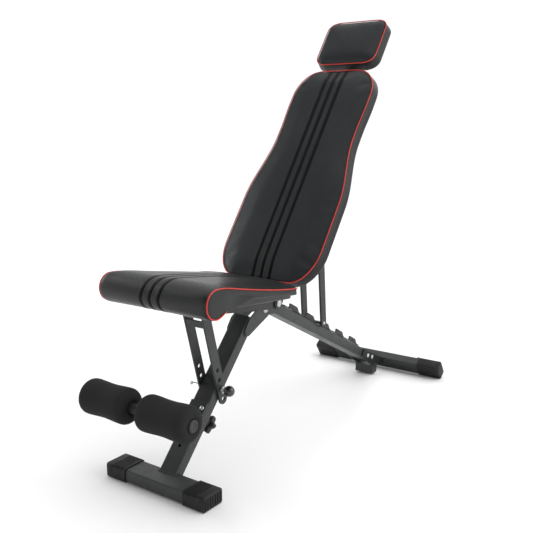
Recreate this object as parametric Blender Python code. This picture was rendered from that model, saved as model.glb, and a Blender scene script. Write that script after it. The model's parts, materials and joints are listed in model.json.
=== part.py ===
"""Decline sit-up bench, an assembly of welded, bolted and sliding parts.

Axes: X across the bench (+X is the right-hand side of someone sitting on it, facing -Y),
Y along it from the foam rollers to the rear foot, Z up.  Metres.  The origin is on the
floor, midway along the bench.  Side-view points below are (y, z) pairs measured from the
middle of the front foot; ORIGIN_Y moves them to the model's origin.
"""
import math

import bmesh
import bpy
from mathutils import Matrix, Vector

# ---------------------------------------------------------------- fits
GAP = 0.0003            # between two pieces that touch
HOLE_FIT = 0.0004       # radial play of a bolt in its hole
SLIDE_FIT = 0.0004      # play each side of a sliding tube

# ---------------------------------------------------------------- steel sections
TUBE_W, TUBE_H, TUBE_WALL = 0.050, 0.030, 0.002      # post, rail and rear foot
TUBE_CORNER = 0.004
PLATE_T = 0.004

# ---------------------------------------------------------------- front foot
FOOT_W, FOOT_D, FOOT_H = 0.292, 0.060, 0.030
FOOT_CAP_L, FOOT_CAP_WALL, FOOT_CAP_END = 0.062, 0.003, 0.005

# ---------------------------------------------------------------- front post
POST_ANGLE = math.radians(47.4)
POST_BASE = (0.023, 0.0209)       # on the post's centre line, near the foot
POST_TOP = 0.430                  # distances along the post from POST_BASE
POST_TAIL = -0.030
POST_END_Z = 0.013                # lowest point of the notched end behind the foot
PIN_AT = 0.233
FOLD_AT, FOLD_BEHIND = 0.478, 0.027
EAR_R = 0.024
POST_HOLE_AT, POST_HOLE_R = 0.072, 0.0045

# ---------------------------------------------------------------- rear rail
RAIL_ANGLE = math.radians(-27.1)
RAIL_ABOVE_FOLD = 0.0171          # rail centre line above the fold pivot, square to it
RAIL_START, RAIL_END = 0.060, 0.690
BACK_PIVOT_ALONG, BACK_PIVOT_UP = 0.0316, 0.0262     # seat and backrest pivot from the fold pivot
HINGE_R = 0.016

# ---------------------------------------------------------------- rack on the rail
TOOTH_COUNT, TOOTH_FIRST, TOOTH_PITCH = 5, 0.113, 0.095
TOOTH_L, TOOTH_H, RACK_BASE = 0.060, 0.0150, 0.0025
REST_NOTCH = 2                    # the strut rod stands in front of this tooth

# ---------------------------------------------------------------- rear foot
REAR_W, REAR_ANGLE = 0.464, math.radians(125.4)
REAR_CENTRE_Y = 1.072
REAR_CAP_L, REAR_CAP_WALL, REAR_CAP_END = 0.076, 0.0025, 0.004
BRACKET_BOLT_R = 0.004
STOP_Y, STOP_D, STOP_Z, STOP_H, STOP_W = 0.990, 0.030, 0.006, 0.028, 0.064

# ---------------------------------------------------------------- pivots
FOLD_BOLT_R, BACK_BOLT_R, HEAD_T = 0.006, 0.006, 0.0045
ARM_ROD_R, PIN_R, BALL_R = 0.005, 0.005, 0.0135

# ---------------------------------------------------------------- arms under the seat
ARM_W, ARM_T = 0.028, 0.005
ARM_TOP_AT = (0.122, 0.410)        # given for a seat pivot at SEAT_PIVOT_AT
ARM_PITCH, ARM_TAIL = 0.027, 0.015
ARM_PLAY = 0.0008                 # arm's inner face to the post's side
SLOT_ANGLE = math.radians(-17.6)
SLOT_FROM, SLOT_TO, SLOT_R = -0.0068, 0.0006, 0.0058

# ---------------------------------------------------------------- seat, given for that pivot too
SEAT_PIVOT_AT = (0.4065, 0.3634)
SEAT_W = 0.318
SEAT_ROLL_AT = (0.010, 0.4555)
SEAT_ROLL_R = 0.0355
SEAT_TOP_REAR_AT = (0.318, 0.434)
SEAT_UNDER_AT = ((0.060, 0.4365), (0.320, 0.4095))
SEAT_PLATE_Y, SEAT_BAR_Y = (0.098, 0.140, 0.296), (0.125, 0.270)
SEAT_EDGE = 0.007
SEAT_BAR_T, SEAT_BAR_W, SEAT_BAR_D = 0.003, 0.220, 0.030

# ---------------------------------------------------------------- backrest, from its pivot
BACK_ANGLE = math.radians(53.9)
FACE_OUT = 0.0692                 # pad face in front of the pivot
PAD_T, PAD_START, PAD_L = 0.036, 0.0365, 0.676
HIP_W, WAIST_W, SHOULDER_W = 0.322, 0.265, 0.272
BACK_TUBE_W, BACK_TUBE_D, BACK_TUBE_WALL = 0.025, 0.030, 0.0018
BACK_TUBE_FROM, BACK_TUBE_TO = 0.070, 0.645
CROSS_T, CROSS_D = 0.004, 0.030
STRUT_AT = 0.371
STRUT_ROD_R = 0.005

# ---------------------------------------------------------------- strut
STRUT_W, STRUT_T = 0.025, 0.006
STRUT_IN = 0.0290                 # inner face of each leg from the middle
NOTCH_ROD_R = 0.005

# ---------------------------------------------------------------- headrest
HEAD_GAP, HEAD_L, HEAD_W, HEAD_PAD_T = 0.027, 0.156, 0.203, 0.042
HEAD_POST, HEAD_POST_WALL = 0.024, 0.002
HEAD_POST_FROM, SLEEVE_FROM, SLEEVE_TO, SLEEVE_WALL = 0.520, 0.485, 0.640, 0.0026
HEAD_PLATE_T, HEAD_PLATE_W, HEAD_PLATE_L = 0.004, 0.110, 0.080
HEAD_BLOCK_T = 0.004

# ---------------------------------------------------------------- foam rollers
ROLLER_AXIS = (-0.068, 0.215)
ROLLER_R, ROLLER_L, ROLLER_MID = 0.041, 0.137, 0.019
CROSS_TUBE_R, CROSS_TUBE_WALL = 0.0125, 0.002
PLUG_R, PLUG_T = 0.019, 0.004
SUPPORT_W, SUPPORT_WALL, SUPPORT_AT = 0.025, 0.002, 0.146
CARRIAGE_W, CARRIAGE_FROM, CARRIAGE_TO = 0.050, 0.124, 0.186
CLAMP_AT, CLAMP_R = 0.154, 0.004
SCREW_AT, SCREW_X, SCREW_R = 0.170, 0.016, 0.003
KNOB_R, KNOB_T, KNOB_OFF, KNOB_LOBES = 0.025, 0.016, 0.012, 6

# ---------------------------------------------------------------- layers outward from the middle
POST_HALF = TUBE_W / 2
HINGE_IN = POST_HALF - PLATE_T
EAR_IN = POST_HALF + GAP
ARM_IN = POST_HALF + ARM_PLAY
FOLD_HEAD_IN = EAR_IN + PLATE_T + GAP
SEAT_PLATE_IN = FOLD_HEAD_IN + HEAD_T + 0.0009
LUG_IN = SEAT_PLATE_IN + PLATE_T + GAP
BACK_TUBE_IN = LUG_IN + PLATE_T + GAP


# ================================================================ small geometry
def unit(angle):
    return Vector((math.cos(angle), math.sin(angle)))


def along(base, angle, s, up=0.0):
    """Side-view point s along a line and up to its left."""
    d = unit(angle)
    return (base[0] + s * d.x - up * d.y, base[1] + s * d.y + up * d.x)


def place(point, x=0.0):
    return Vector((x, point[0] - ORIGIN_Y, point[1]))


def arc(centre, radius, start, end, steps):
    out = []
    for i in range(steps + 1):
        a = start + (end - start) * i / steps
        out.append((centre[0] + radius * math.cos(a), centre[1] + radius * math.sin(a)))
    return out


def hull(circles, steps=24):
    """Outline of the tight band round some circles, each (centre, radius)."""
    pts = sorted(p for c, r in circles for p in arc(c, r, 0.0, 2 * math.pi, steps)[:-1])
    halves = []
    for seq in (pts, pts[::-1]):
        chain = []
        for p in seq:
            while len(chain) > 1 and turn(chain[-2], chain[-1], p) <= 1e-12:
                chain.pop()
            chain.append(p)
        halves += chain[:-1]
    return halves


def turn(a, b, c):
    return (b[0] - a[0]) * (c[1] - a[1]) - (b[1] - a[1]) * (c[0] - a[0])


def slot_outline(p, q, r, steps=10):
    a = math.atan2(q[1] - p[1], q[0] - p[0])
    half = math.pi / 2
    return arc(p, r, a + half, a + 3 * half, steps) + arc(q, r, a - half, a + half, steps)


def rounded_rect(w, h, r, steps=3):
    out = []
    for i, (sx, sy) in enumerate(((1, 1), (-1, 1), (-1, -1), (1, -1))):
        centre = (sx * (w / 2 - r), sy * (h / 2 - r))
        out += arc(centre, r, i * math.pi / 2, (i + 1) * math.pi / 2, steps)
    return out


# ================================================================ scene and materials
POST_PIVOT = along(POST_BASE, POST_ANGLE, FOLD_AT, -FOLD_BEHIND)
PIN_POINT = along(POST_BASE, POST_ANGLE, PIN_AT)
BACK_PIVOT = along(POST_PIVOT, RAIL_ANGLE, BACK_PIVOT_ALONG, BACK_PIVOT_UP)


def hung(point):
    """A point of the seat or of its arms, moved along with the pivot that the seat hangs on."""
    return (point[0] + BACK_PIVOT[0] - SEAT_PIVOT_AT[0], point[1] + BACK_PIVOT[1] - SEAT_PIVOT_AT[1])


ARM_TOP, SEAT_ROLL, SEAT_TOP_REAR = hung(ARM_TOP_AT), hung(SEAT_ROLL_AT), hung(SEAT_TOP_REAR_AT)
SEAT_UNDER_FRONT, SEAT_UNDER_REAR = [hung(p) for p in SEAT_UNDER_AT]
ARM_ANGLE = math.atan2(ARM_TOP[1] - PIN_POINT[1], ARM_TOP[0] - PIN_POINT[0])


def rail_point(s, up=0.0):
    """Point s along the rail from the fold pivot, up from the rail's centre line."""
    return along(POST_PIVOT, RAIL_ANGLE, s, RAIL_ABOVE_FOLD + up)


def rear_cap_reach(angle):
    """How far the rear foot's rounded cap section reaches out along a direction."""
    r = TUBE_CORNER + REAR_CAP_WALL
    half_w, half_h = TUBE_W / 2 - TUBE_CORNER, TUBE_H / 2 - TUBE_CORNER
    off = angle - REAR_ANGLE
    return r + abs(math.cos(off)) * half_w + abs(math.sin(off)) * half_h


def rear_centre():
    return (REAR_CENTRE_Y, rear_cap_reach(math.pi / 2))


ORIGIN_Y = (ROLLER_AXIS[0] - ROLLER_R + REAR_CENTRE_Y + rear_cap_reach(0.0)) / 2


def clear_scene():
    for obj in list(bpy.data.objects):
        bpy.data.objects.remove(obj, do_unlink=True)


def material(name, colour, rough, metal=0.0):
    mat = bpy.data.materials.new(name)
    mat.use_nodes = True
    bsdf = mat.node_tree.nodes["Principled BSDF"]
    bsdf.inputs["Base Color"].default_value = (*colour, 1.0)
    bsdf.inputs["Roughness"].default_value = rough
    bsdf.inputs["Metallic"].default_value = metal
    mat.diffuse_color = (*colour, 1.0)
    return mat


def empty(name, point, angle=0.0, x=0.0):
    obj = bpy.data.objects.new(name, None)
    obj.empty_display_size = 0.05
    obj.location = place(point, x)
    obj.rotation_euler = (angle, 0.0, 0.0)
    bpy.context.scene.collection.objects.link(obj)
    return obj


def world_of(obj):
    own = Matrix.LocRotScale(obj.location, obj.rotation_euler, None)
    if obj.parent is None:
        return own
    return world_of(obj.parent) @ obj.matrix_parent_inverse @ own


def attach(obj, parent):
    """Parents an object and keeps it where it stands."""
    obj.parent = parent
    obj.matrix_parent_inverse = world_of(parent).inverted()
    return obj


def add_object(name, mesh_data, mat, origin, angle=0.0, x=0.0):
    """Makes a node whose mesh is given in its own axes (X, along, up)."""
    mesh = bpy.data.meshes.new(name)
    bmesh.ops.remove_doubles(mesh_data, verts=mesh_data.verts, dist=1e-6)
    bmesh.ops.recalc_face_normals(mesh_data, faces=mesh_data.faces)
    mesh_data.to_mesh(mesh)
    mesh_data.free()
    mesh.shade_smooth()
    mesh.set_sharp_from_angle(angle=math.radians(35))
    obj = bpy.data.objects.new(name, mesh)
    obj.location = place(origin, x)
    obj.rotation_euler = (angle, 0.0, 0.0)
    bpy.context.scene.collection.objects.link(obj)
    if mat is not None:
        mesh.materials.append(mat)
    return obj


# ================================================================ solids
def rings_solid(rings, close=False):
    """Skins equal-length rings of points; caps both ends unless the stack is closed."""
    bm = bmesh.new()
    loops = [[bm.verts.new(p) for p in ring] for ring in rings]
    pairs = list(zip(loops, loops[1:]))
    if close:
        pairs.append((loops[-1], loops[0]))
    n = len(loops[0])
    for a, b in pairs:
        for i in range(n):
            j = (i + 1) % n
            bm.faces.new((a[i], a[j], b[j], b[i]))
    if not close:
        bm.faces.new(loops[0][::-1])
        bm.faces.new(loops[-1])
    return bm


def prism_x(outline, x0, x1):
    """Side-view outline stretched across X."""
    return rings_solid([[(x, y, z) for y, z in outline] for x in (x0, x1)])


def box(x0, x1, y0, y1, z0, z1):
    return prism_x([(y0, z0), (y1, z0), (y1, z1), (y0, z1)], x0, x1)


def tube_y(w, h, wall, corner, y0, y1):
    """Rectangular tube along its own Y, open at both ends."""
    outer = rounded_rect(w, h, corner)
    inner = rounded_rect(w - 2 * wall, h - 2 * wall, max(corner - wall, 0.001))
    rings = [[(a, y, b) for a, b in loop] for loop, y in
             ((outer, y0), (outer, y1), (inner, y1), (inner, y0))]
    return rings_solid(rings, close=True)


def tube_x(w, h, wall, corner, x0, x1):
    """Rectangular tube along X, w along Y and h along Z."""
    outer = rounded_rect(w, h, corner)
    inner = rounded_rect(w - 2 * wall, h - 2 * wall, max(corner - wall, 0.001))
    rings = [[(x, a, b) for a, b in loop] for loop, x in
             ((outer, x0), (outer, x1), (inner, x1), (inner, x0))]
    return rings_solid(rings, close=True)


def lathe_x(profile, segments=16, bore=False):
    """Turns (x, radius) points about X; with bore the profile closes on itself."""
    rings = []
    for x, r in profile:
        ring = arc((0.0, 0.0), r, 0.0, 2 * math.pi, segments)[:-1]
        rings.append([(x, a, b) for a, b in ring])
    return rings_solid(rings, close=bore)


def cap_x(w, d, length, wall, end, corner):
    """End cap along X: closed at its outer end, a socket for the tube inside."""
    outer = rounded_rect(w + 2 * wall, d + 2 * wall, corner + wall)
    inner = rounded_rect(w + 2 * GAP, d + 2 * GAP, corner)
    rings = [[(x, a, b) for a, b in loop] for loop, x in
             ((inner, length - end), (inner, 0.0), (outer, 0.0), (outer, length - 0.004))]
    inset = rounded_rect(w + 2 * wall - 0.006, d + 2 * wall - 0.006, corner)
    rings.append([(length, a, b) for a, b in inset])
    return rings_solid(rings)


def cut(target, mesh_data, name, origin, angle=0.0, x=0.0):
    """Subtracts a hidden cutter from a node."""
    tool = add_object(name, mesh_data, None, origin, angle, x)
    tool.hide_render = True
    tool.display_type = 'WIRE'
    attach(tool, target)
    mod = target.modifiers.new(name, 'BOOLEAN')
    mod.operation = 'DIFFERENCE'
    mod.solver = 'EXACT'
    mod.object = tool


def drill(target, points, radius, span=0.2, segments=16):
    """Cross holes along X at side-view points."""
    for i, p in enumerate(points):
        rod = lathe_x([(-span, radius), (span, radius)], segments)
        cut(target, rod, "cut_%s_%d_%d" % (target.name, len(target.modifiers), i), p)


def bolt_x(name, point, radius, half, head_r, mat, head_t=HEAD_T):
    """A through bolt along X with a head each side, half being its grip."""
    profile = [(-half - head_t, head_r), (-half, head_r), (-half, radius),
               (half, radius), (half, head_r), (half + head_t, head_r)]
    return add_object(name, lathe_x(profile), mat, point)


# ================================================================ rear rail (the fixed body)
def build_rail(m):
    origin = rail_point(0.0)
    rail = add_object("rear_rail", tube_y(TUBE_W, TUBE_H, TUBE_WALL, TUBE_CORNER,
                                          RAIL_START, RAIL_END), m["steel"], origin, RAIL_ANGLE)
    drill(rail, bracket_bolts(), BRACKET_BOLT_R + HOLE_FIT)
    for side, tag in ((1, "R"), (-1, "L")):
        build_hinge_plate(m, side, tag)
        build_rack(m, side, tag)
        build_rear_bracket(m, side, tag)
    fold_half = EAR_IN + PLATE_T + GAP
    bolt_x("fold_pivot_bolt", POST_PIVOT, FOLD_BOLT_R, fold_half, 0.010, m["zinc"])
    back_half = LUG_IN + PLATE_T + GAP
    bolt_x("seat_pivot_bolt", BACK_PIVOT, BACK_BOLT_R, back_half, 0.010, m["zinc"])
    for i, p in enumerate(bracket_bolts()):
        half = POST_HALF + GAP + PLATE_T + GAP
        bolt_x("bracket_bolt_%d" % (i + 1), p, BRACKET_BOLT_R, half, 0.0075, m["zinc"])
    build_rear_foot(m)


def bracket_bolts():
    return [rail_point(RAIL_END - 0.050, -0.001), rail_point(RAIL_END - 0.018, 0.001)]


def side_x(side, inner, thick):
    return sorted((side * inner, side * (inner + thick)))


def local(points, origin):
    return [(y - origin[0], z - origin[1]) for y, z in points]


def build_hinge_plate(m, side, tag):
    """Cheek that carries the rail's front end on the two pivots."""
    r = TUBE_H / 2 - 0.001
    start = RAIL_START - GAP
    corners = [rail_point(start, r), rail_point(start, -r)]
    outline = hull([(POST_PIVOT, HINGE_R), (BACK_PIVOT, HINGE_R),
                    (corners[0], 1e-6), (corners[1], 1e-6)])
    obj = add_object("rail_hinge_plate_" + tag, prism_x(local(outline, POST_PIVOT),
                     *side_x(side, HINGE_IN, PLATE_T)), m["steel"], POST_PIVOT)
    drill(obj, [POST_PIVOT], FOLD_BOLT_R + HOLE_FIT)
    drill(obj, [BACK_PIVOT], BACK_BOLT_R + HOLE_FIT)


def rod_centre(tooth):
    """Where the strut rod stands in front of a tooth: (along the rail, above its top)."""
    return (TOOTH_FIRST + tooth * TOOTH_PITCH - 0.003, RACK_BASE + NOTCH_ROD_R + 0.0006)


def rack_outline():
    """Hooked teeth on a base strip, as (along, above the rail's top)."""
    pts = [(TOOTH_FIRST - 0.030, GAP)]
    pts.append((TOOTH_FIRST - 0.030, RACK_BASE))
    for i in range(TOOTH_COUNT):
        c = rod_centre(i)
        front = TOOTH_FIRST + i * TOOTH_PITCH
        pts += arc(c, NOTCH_ROD_R + 0.0008, -math.pi / 2 + 0.3, math.radians(52), 6)
        pts.append((pts[-1][0] + 0.0004, pts[-1][1] + 0.0012))
        pts.append((front + 0.0045, TOOTH_H))
        end = front + TOOTH_L
        pts.append((end - 0.020, TOOTH_H - 0.001))
        pts.append((end - 0.014, TOOTH_H - 0.004))
        pts.append((end - 0.010, RACK_BASE + 0.005))
        pts.append((end - 0.004, RACK_BASE + 0.001))
        pts.append((end + 0.004, RACK_BASE))
    pts.append((TOOTH_FIRST + TOOTH_COUNT * TOOTH_PITCH - 0.020, RACK_BASE))
    pts.append((TOOTH_FIRST + TOOTH_COUNT * TOOTH_PITCH - 0.020, GAP))
    return pts


def build_rack(m, side, tag):
    origin = rail_point(0.0, TUBE_H / 2)
    data = prism_x(rack_outline(), *side_x(side, HINGE_IN, PLATE_T))
    add_object("rack_plate_" + tag, data, m["dark_steel"], origin, RAIL_ANGLE)


def build_rear_bracket(m, side, tag):
    """Side cheek from the rail's end to the rear foot, with a tab down to the stop block."""
    top = STOP_Z + STOP_H + GAP
    foot = rear_centre()
    pts = [rail_point(RAIL_END - 0.086, -0.013), (STOP_Y - STOP_D / 2, top),
           (STOP_Y + STOP_D / 2 + 0.002, top), along(foot, REAR_ANGLE, -0.010, 0.008),
           along(foot, REAR_ANGLE, 0.018, 0.008), rail_point(RAIL_END + 0.010, 0.015),
           rail_point(RAIL_END - 0.086, 0.013)]
    origin = rail_point(RAIL_END)
    obj = add_object("rear_bracket_plate_" + tag, prism_x(local(pts, origin),
                     *side_x(side, POST_HALF + GAP, PLATE_T)), m["dark_steel"], origin)
    drill(obj, bracket_bolts(), BRACKET_BOLT_R + HOLE_FIT)
    grown = rounded_rect(TUBE_W + 2 * GAP, TUBE_H + 2 * GAP, TUBE_CORNER)
    cut(obj, prism_x(grown, -0.1, 0.1), "cut_foot_" + tag, rear_centre(), REAR_ANGLE)


def build_rear_foot(m):
    half = REAR_W / 2
    inner = half - REAR_CAP_END - GAP
    add_object("rear_foot_tube", tube_x(TUBE_W, TUBE_H, TUBE_WALL, TUBE_CORNER, -inner, inner),
               m["steel"], rear_centre(), REAR_ANGLE)
    for side, tag in ((1, "R"), (-1, "L")):
        data = cap_x(TUBE_W, TUBE_H, REAR_CAP_L, REAR_CAP_WALL, REAR_CAP_END, TUBE_CORNER)
        bmesh.ops.translate(data, verts=data.verts, vec=(half - REAR_CAP_L, 0, 0))
        if side < 0:
            bmesh.ops.scale(data, verts=data.verts, vec=(-1, 1, 1))
        add_object("rear_foot_cap_" + tag, data, m["rubber"], rear_centre(), REAR_ANGLE)
    add_object("rear_stop_block", box(-STOP_W / 2, STOP_W / 2, -STOP_D / 2, STOP_D / 2,
               0.0, STOP_H), m["steel"], (STOP_Y, STOP_Z))


# ================================================================ front post (folds)
def build_post(m, axis):
    tube = tube_y(TUBE_W, TUBE_H, TUBE_WALL, TUBE_CORNER, POST_TAIL, POST_TOP)
    post = add_object("front_post", tube, m["steel"], POST_BASE, POST_ANGLE)
    foot_top = FOOT_CAP_WALL + FOOT_H + GAP
    rear = FOOT_D / 2 + GAP
    notch = [(-0.2, -0.1), (0.3, -0.1), (0.3, POST_END_Z), (rear, POST_END_Z),
             (rear, foot_top), (-0.2, foot_top)]
    cut(post, prism_x(notch, -0.1, 0.1), "cut_post_end", (0.0, 0.0))
    drill(post, [PIN_POINT], PIN_R + HOLE_FIT)
    for at, r, x, low in ((CLAMP_AT, CLAMP_R + HOLE_FIT, 0.0, -0.05),
                          (POST_HOLE_AT, POST_HOLE_R, 0.0, -0.05),
                          (SCREW_AT, SCREW_R + HOLE_FIT, SCREW_X, 0.0)):
        hole = rod_z(r, low, 0.05)
        cut(post, hole, "cut_post_%d" % round(at * 1000), along(POST_BASE, POST_ANGLE, at),
            POST_ANGLE, x)
    attach(post, axis)
    for side, tag in ((1, "R"), (-1, "L")):
        attach(build_ear(m, side, tag), axis)
    build_front_foot(m, axis)


def rod_z(radius, z0, z1, segments=12):
    ring = arc((0.0, 0.0), radius, 0.0, 2 * math.pi, segments)[:-1]
    return rings_solid([[(a, b, z) for a, b in ring] for z in (z0, z1)])


def build_ear(m, side, tag):
    low = along(POST_BASE, POST_ANGLE, POST_TOP - 0.034, -0.001)
    high = along(POST_BASE, POST_ANGLE, POST_TOP - 0.012, 0.001)
    outline = hull([(POST_PIVOT, EAR_R), (low, 0.013), (high, 0.013)])
    obj = add_object("post_ear_" + tag, prism_x(local(outline, POST_PIVOT),
                     *side_x(side, EAR_IN, PLATE_T)), m["steel"], POST_PIVOT)
    drill(obj, [POST_PIVOT], FOLD_BOLT_R + HOLE_FIT)
    return obj


def build_front_foot(m, axis):
    half = FOOT_W / 2 + FOOT_CAP_END
    mid = (0.0, FOOT_CAP_WALL + FOOT_H / 2)
    tube = tube_x(FOOT_D, FOOT_H, TUBE_WALL, TUBE_CORNER, -FOOT_W / 2, FOOT_W / 2)
    attach(add_object("front_foot_tube", tube, m["steel"], mid), axis)
    for side, tag in ((1, "R"), (-1, "L")):
        data = cap_x(FOOT_D, FOOT_H, FOOT_CAP_L, FOOT_CAP_WALL, FOOT_CAP_END - GAP, TUBE_CORNER)
        bmesh.ops.translate(data, verts=data.verts, vec=(half - FOOT_CAP_L, 0, 0))
        if side < 0:
            bmesh.ops.scale(data, verts=data.verts, vec=(-1, 1, 1))
        attach(add_object("front_foot_cap_" + tag, data, m["rubber"], mid), axis)


# ================================================================ foam roller carriage
def build_rollers(m, axis):
    face = TUBE_H / 2 + GAP
    origin = along(POST_BASE, POST_ANGLE, CARRIAGE_FROM)
    plate = add_object("roller_carriage_plate",
                       box(-CARRIAGE_W / 2, CARRIAGE_W / 2, 0.0, CARRIAGE_TO - CARRIAGE_FROM,
                           face, face + PLATE_T), m["steel"], origin, POST_ANGLE)
    for at, r, x in ((CLAMP_AT, CLAMP_R, 0.0), (SCREW_AT, SCREW_R, SCREW_X)):
        cut(plate, rod_z(r + HOLE_FIT, -0.05, 0.05), "cut_carriage_%d" % round(at * 1000),
            along(POST_BASE, POST_ANGLE, at), POST_ANGLE, x)
    attach(plate, axis)
    build_support(m, axis, face + PLATE_T + GAP)
    tube_half = ROLLER_MID + ROLLER_L - 0.001
    ring = [(-tube_half, CROSS_TUBE_R), (tube_half, CROSS_TUBE_R),
            (tube_half, CROSS_TUBE_R - CROSS_TUBE_WALL), (-tube_half, CROSS_TUBE_R - CROSS_TUBE_WALL)]
    attach(add_object("roller_cross_tube", lathe_x(ring, 24, bore=True), m["steel"], ROLLER_AXIS), axis)
    bore = CROSS_TUBE_R - CROSS_TUBE_WALL - GAP
    for side, tag in ((1, "R"), (-1, "L")):
        x0 = ROLLER_MID + ROLLER_L + GAP
        prof = [(side * (tube_half - 0.015), bore * 0.96), (side * x0, bore * 0.96),
                (side * x0, PLUG_R), (side * (x0 + PLUG_T * 0.6), PLUG_R),
                (side * (x0 + PLUG_T), PLUG_R * 0.8)]
        plug = add_object("roller_end_plug_" + tag, lathe_x(prof), m["plastic"], ROLLER_AXIS)
        attach(plug, axis)
    build_clamp(m, axis, face + PLATE_T + GAP)


def build_support(m, axis, clear):
    """Square tube from the carriage plate forward to the rollers' cross tube."""
    start = along(POST_BASE, POST_ANGLE, SUPPORT_AT, clear)
    dy, dz = ROLLER_AXIS[0] - start[0], ROLLER_AXIS[1] - start[1]
    length = math.hypot(dy, dz)
    data = tube_y(SUPPORT_W, SUPPORT_W, SUPPORT_WALL, 0.003, -0.030, length - 0.004)
    obj = add_object("roller_support_arm", data, m["steel"], start, math.atan2(dz, dy))
    cut(obj, box(-0.1, 0.1, -0.2, 0.2, -0.2, clear), "cut_support_post",
        along(POST_BASE, POST_ANGLE, SUPPORT_AT), POST_ANGLE)
    cut(obj, lathe_x([(-0.1, CROSS_TUBE_R + GAP), (0.1, CROSS_TUBE_R + GAP)]),
        "cut_support_tube", ROLLER_AXIS)
    attach(obj, axis)


def build_clamp(m, axis, front):
    """Stud square through the post for the star knob, and the plate's own screw."""
    back = -(TUBE_H / 2 + KNOB_OFF + KNOB_T - 0.002)
    stud = rod_z(CLAMP_R, back, front - 2 * GAP)
    attach(add_object("clamp_stud", stud, m["zinc"], along(POST_BASE, POST_ANGLE, CLAMP_AT),
                      POST_ANGLE), axis)
    rings = []
    for r, z in ((SCREW_R, front - 0.012), (SCREW_R, front), (0.0058, front), (0.0058, front + 0.004)):
        ring = arc((0.0, 0.0), r, 0.0, 2 * math.pi, 12)[:-1]
        rings.append([(a, b, z) for a, b in ring])
    attach(add_object("carriage_screw", rings_solid(rings), m["zinc"],
                      along(POST_BASE, POST_ANGLE, SCREW_AT), POST_ANGLE, SCREW_X), axis)


def build_knob(m, axis):
    outer = []
    count = KNOB_LOBES * 6
    for i in range(count):
        a = 2 * math.pi * i / count
        outer.append((a, KNOB_R * (0.89 + 0.11 * math.cos(KNOB_LOBES * a))))
    z0, z1 = -TUBE_H / 2 - GAP, -TUBE_H / 2 - KNOB_OFF
    z2 = z1 - KNOB_T
    bore = CLAMP_R + HOLE_FIT

    def ring(scale, z, fixed=None):
        return [((fixed or r * scale) * math.cos(a), (fixed or r * scale) * math.sin(a), z)
                for a, r in outer]
    rings = [ring(1, z0, bore), ring(1, z0, 0.011), ring(1, z1, 0.012), ring(1.0, z1 - 0.001),
             ring(1.0, z2 + 0.003), ring(0.90, z2), ring(1, z2, bore)]
    obj = add_object("star_knob", rings_solid(rings, close=True), m["plastic"],
                     along(POST_BASE, POST_ANGLE, CLAMP_AT), POST_ANGLE)
    attach(obj, axis)


def build_foam(m, side, tag, axis):
    x0, x1 = ROLLER_MID, ROLLER_MID + ROLLER_L
    mid = (x0 + x1) / 2
    bore = CROSS_TUBE_R + HOLE_FIT
    prof = [(x0, bore), (x0, ROLLER_R - 0.010), (x0 + 0.003, ROLLER_R - 0.004),
            (x0 + 0.010, ROLLER_R), (mid, ROLLER_R - 0.002), (x1 - 0.010, ROLLER_R),
            (x1 - 0.003, ROLLER_R - 0.004), (x1, ROLLER_R - 0.010), (x1, bore)]
    prof = [(side * x, r) for x, r in prof]
    obj = add_object("foam_roller_" + tag, lathe_x(prof, 24, bore=True), m["foam"], ROLLER_AXIS)
    attach(obj, axis)


# ================================================================ pull pin
def build_pin(m, axis):
    collar = ARM_IN + ARM_T + 0.001
    prof = [(-ARM_IN - ARM_T - 0.009, PIN_R), (collar, PIN_R), (collar, 0.009),
            (collar + 0.007, 0.009), (collar + 0.007, 0.006), (collar + 0.010, 0.006)]
    attach(add_object("pull_pin", lathe_x(prof), m["dark_steel"], PIN_POINT), axis)
    r = BALL_R
    centre = collar + 0.010 + GAP + r * math.cos(math.radians(22))
    ball = [(centre + r * math.cos(a), r * math.sin(a)) for a in
            [math.radians(158 - 136 * i / 8) for i in range(9)]]
    ball.append((centre + r * 0.995, r * 0.1))
    attach(add_object("pin_ball_knob", lathe_x(ball), m["gloss"], PIN_POINT), axis)


# ================================================================ arms under the seat
def build_arms(m, axis):
    tail = along(PIN_POINT, ARM_ANGLE, -ARM_PITCH)
    holes = [along(PIN_POINT, ARM_ANGLE, ARM_PITCH * k) for k in (-1, 0, 1, 2)]
    for side, tag in ((1, "R"), (-1, "L")):
        outline = hull([(tail, ARM_W / 2), (ARM_TOP, ARM_W / 2)])
        obj = add_object("seat_arm_" + tag, prism_x(local(outline, PIN_POINT),
                         *side_x(side, ARM_IN, ARM_T)), m["steel"], PIN_POINT)
        drill(obj, holes, PIN_R + HOLE_FIT)
        drill(obj, [ARM_TOP], ARM_ROD_R + HOLE_FIT)
        attach(obj, axis)
    half = ARM_IN - GAP
    span = math.hypot(ARM_TOP[0] - PIN_POINT[0], ARM_TOP[1] - PIN_POINT[1])
    strap = box(-half, half, span - 0.052, span - 0.034, ARM_W / 2 - 0.005, ARM_W / 2 - 0.001)
    attach(add_object("arm_cross_strap", strap, m["steel"], PIN_POINT, ARM_ANGLE), axis)
    rod_half = SEAT_PLATE_IN + PLATE_T + GAP
    attach(bolt_x("arm_top_rod", ARM_TOP, ARM_ROD_R, rod_half, 0.0085, m["zinc"], 0.004), axis)


# ================================================================ seat
def seat_under(y):
    f, r = SEAT_UNDER_FRONT, SEAT_UNDER_REAR
    t = (y - f[0]) / (r[0] - f[0])
    return f[1] + t * (r[1] - f[1])


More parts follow.
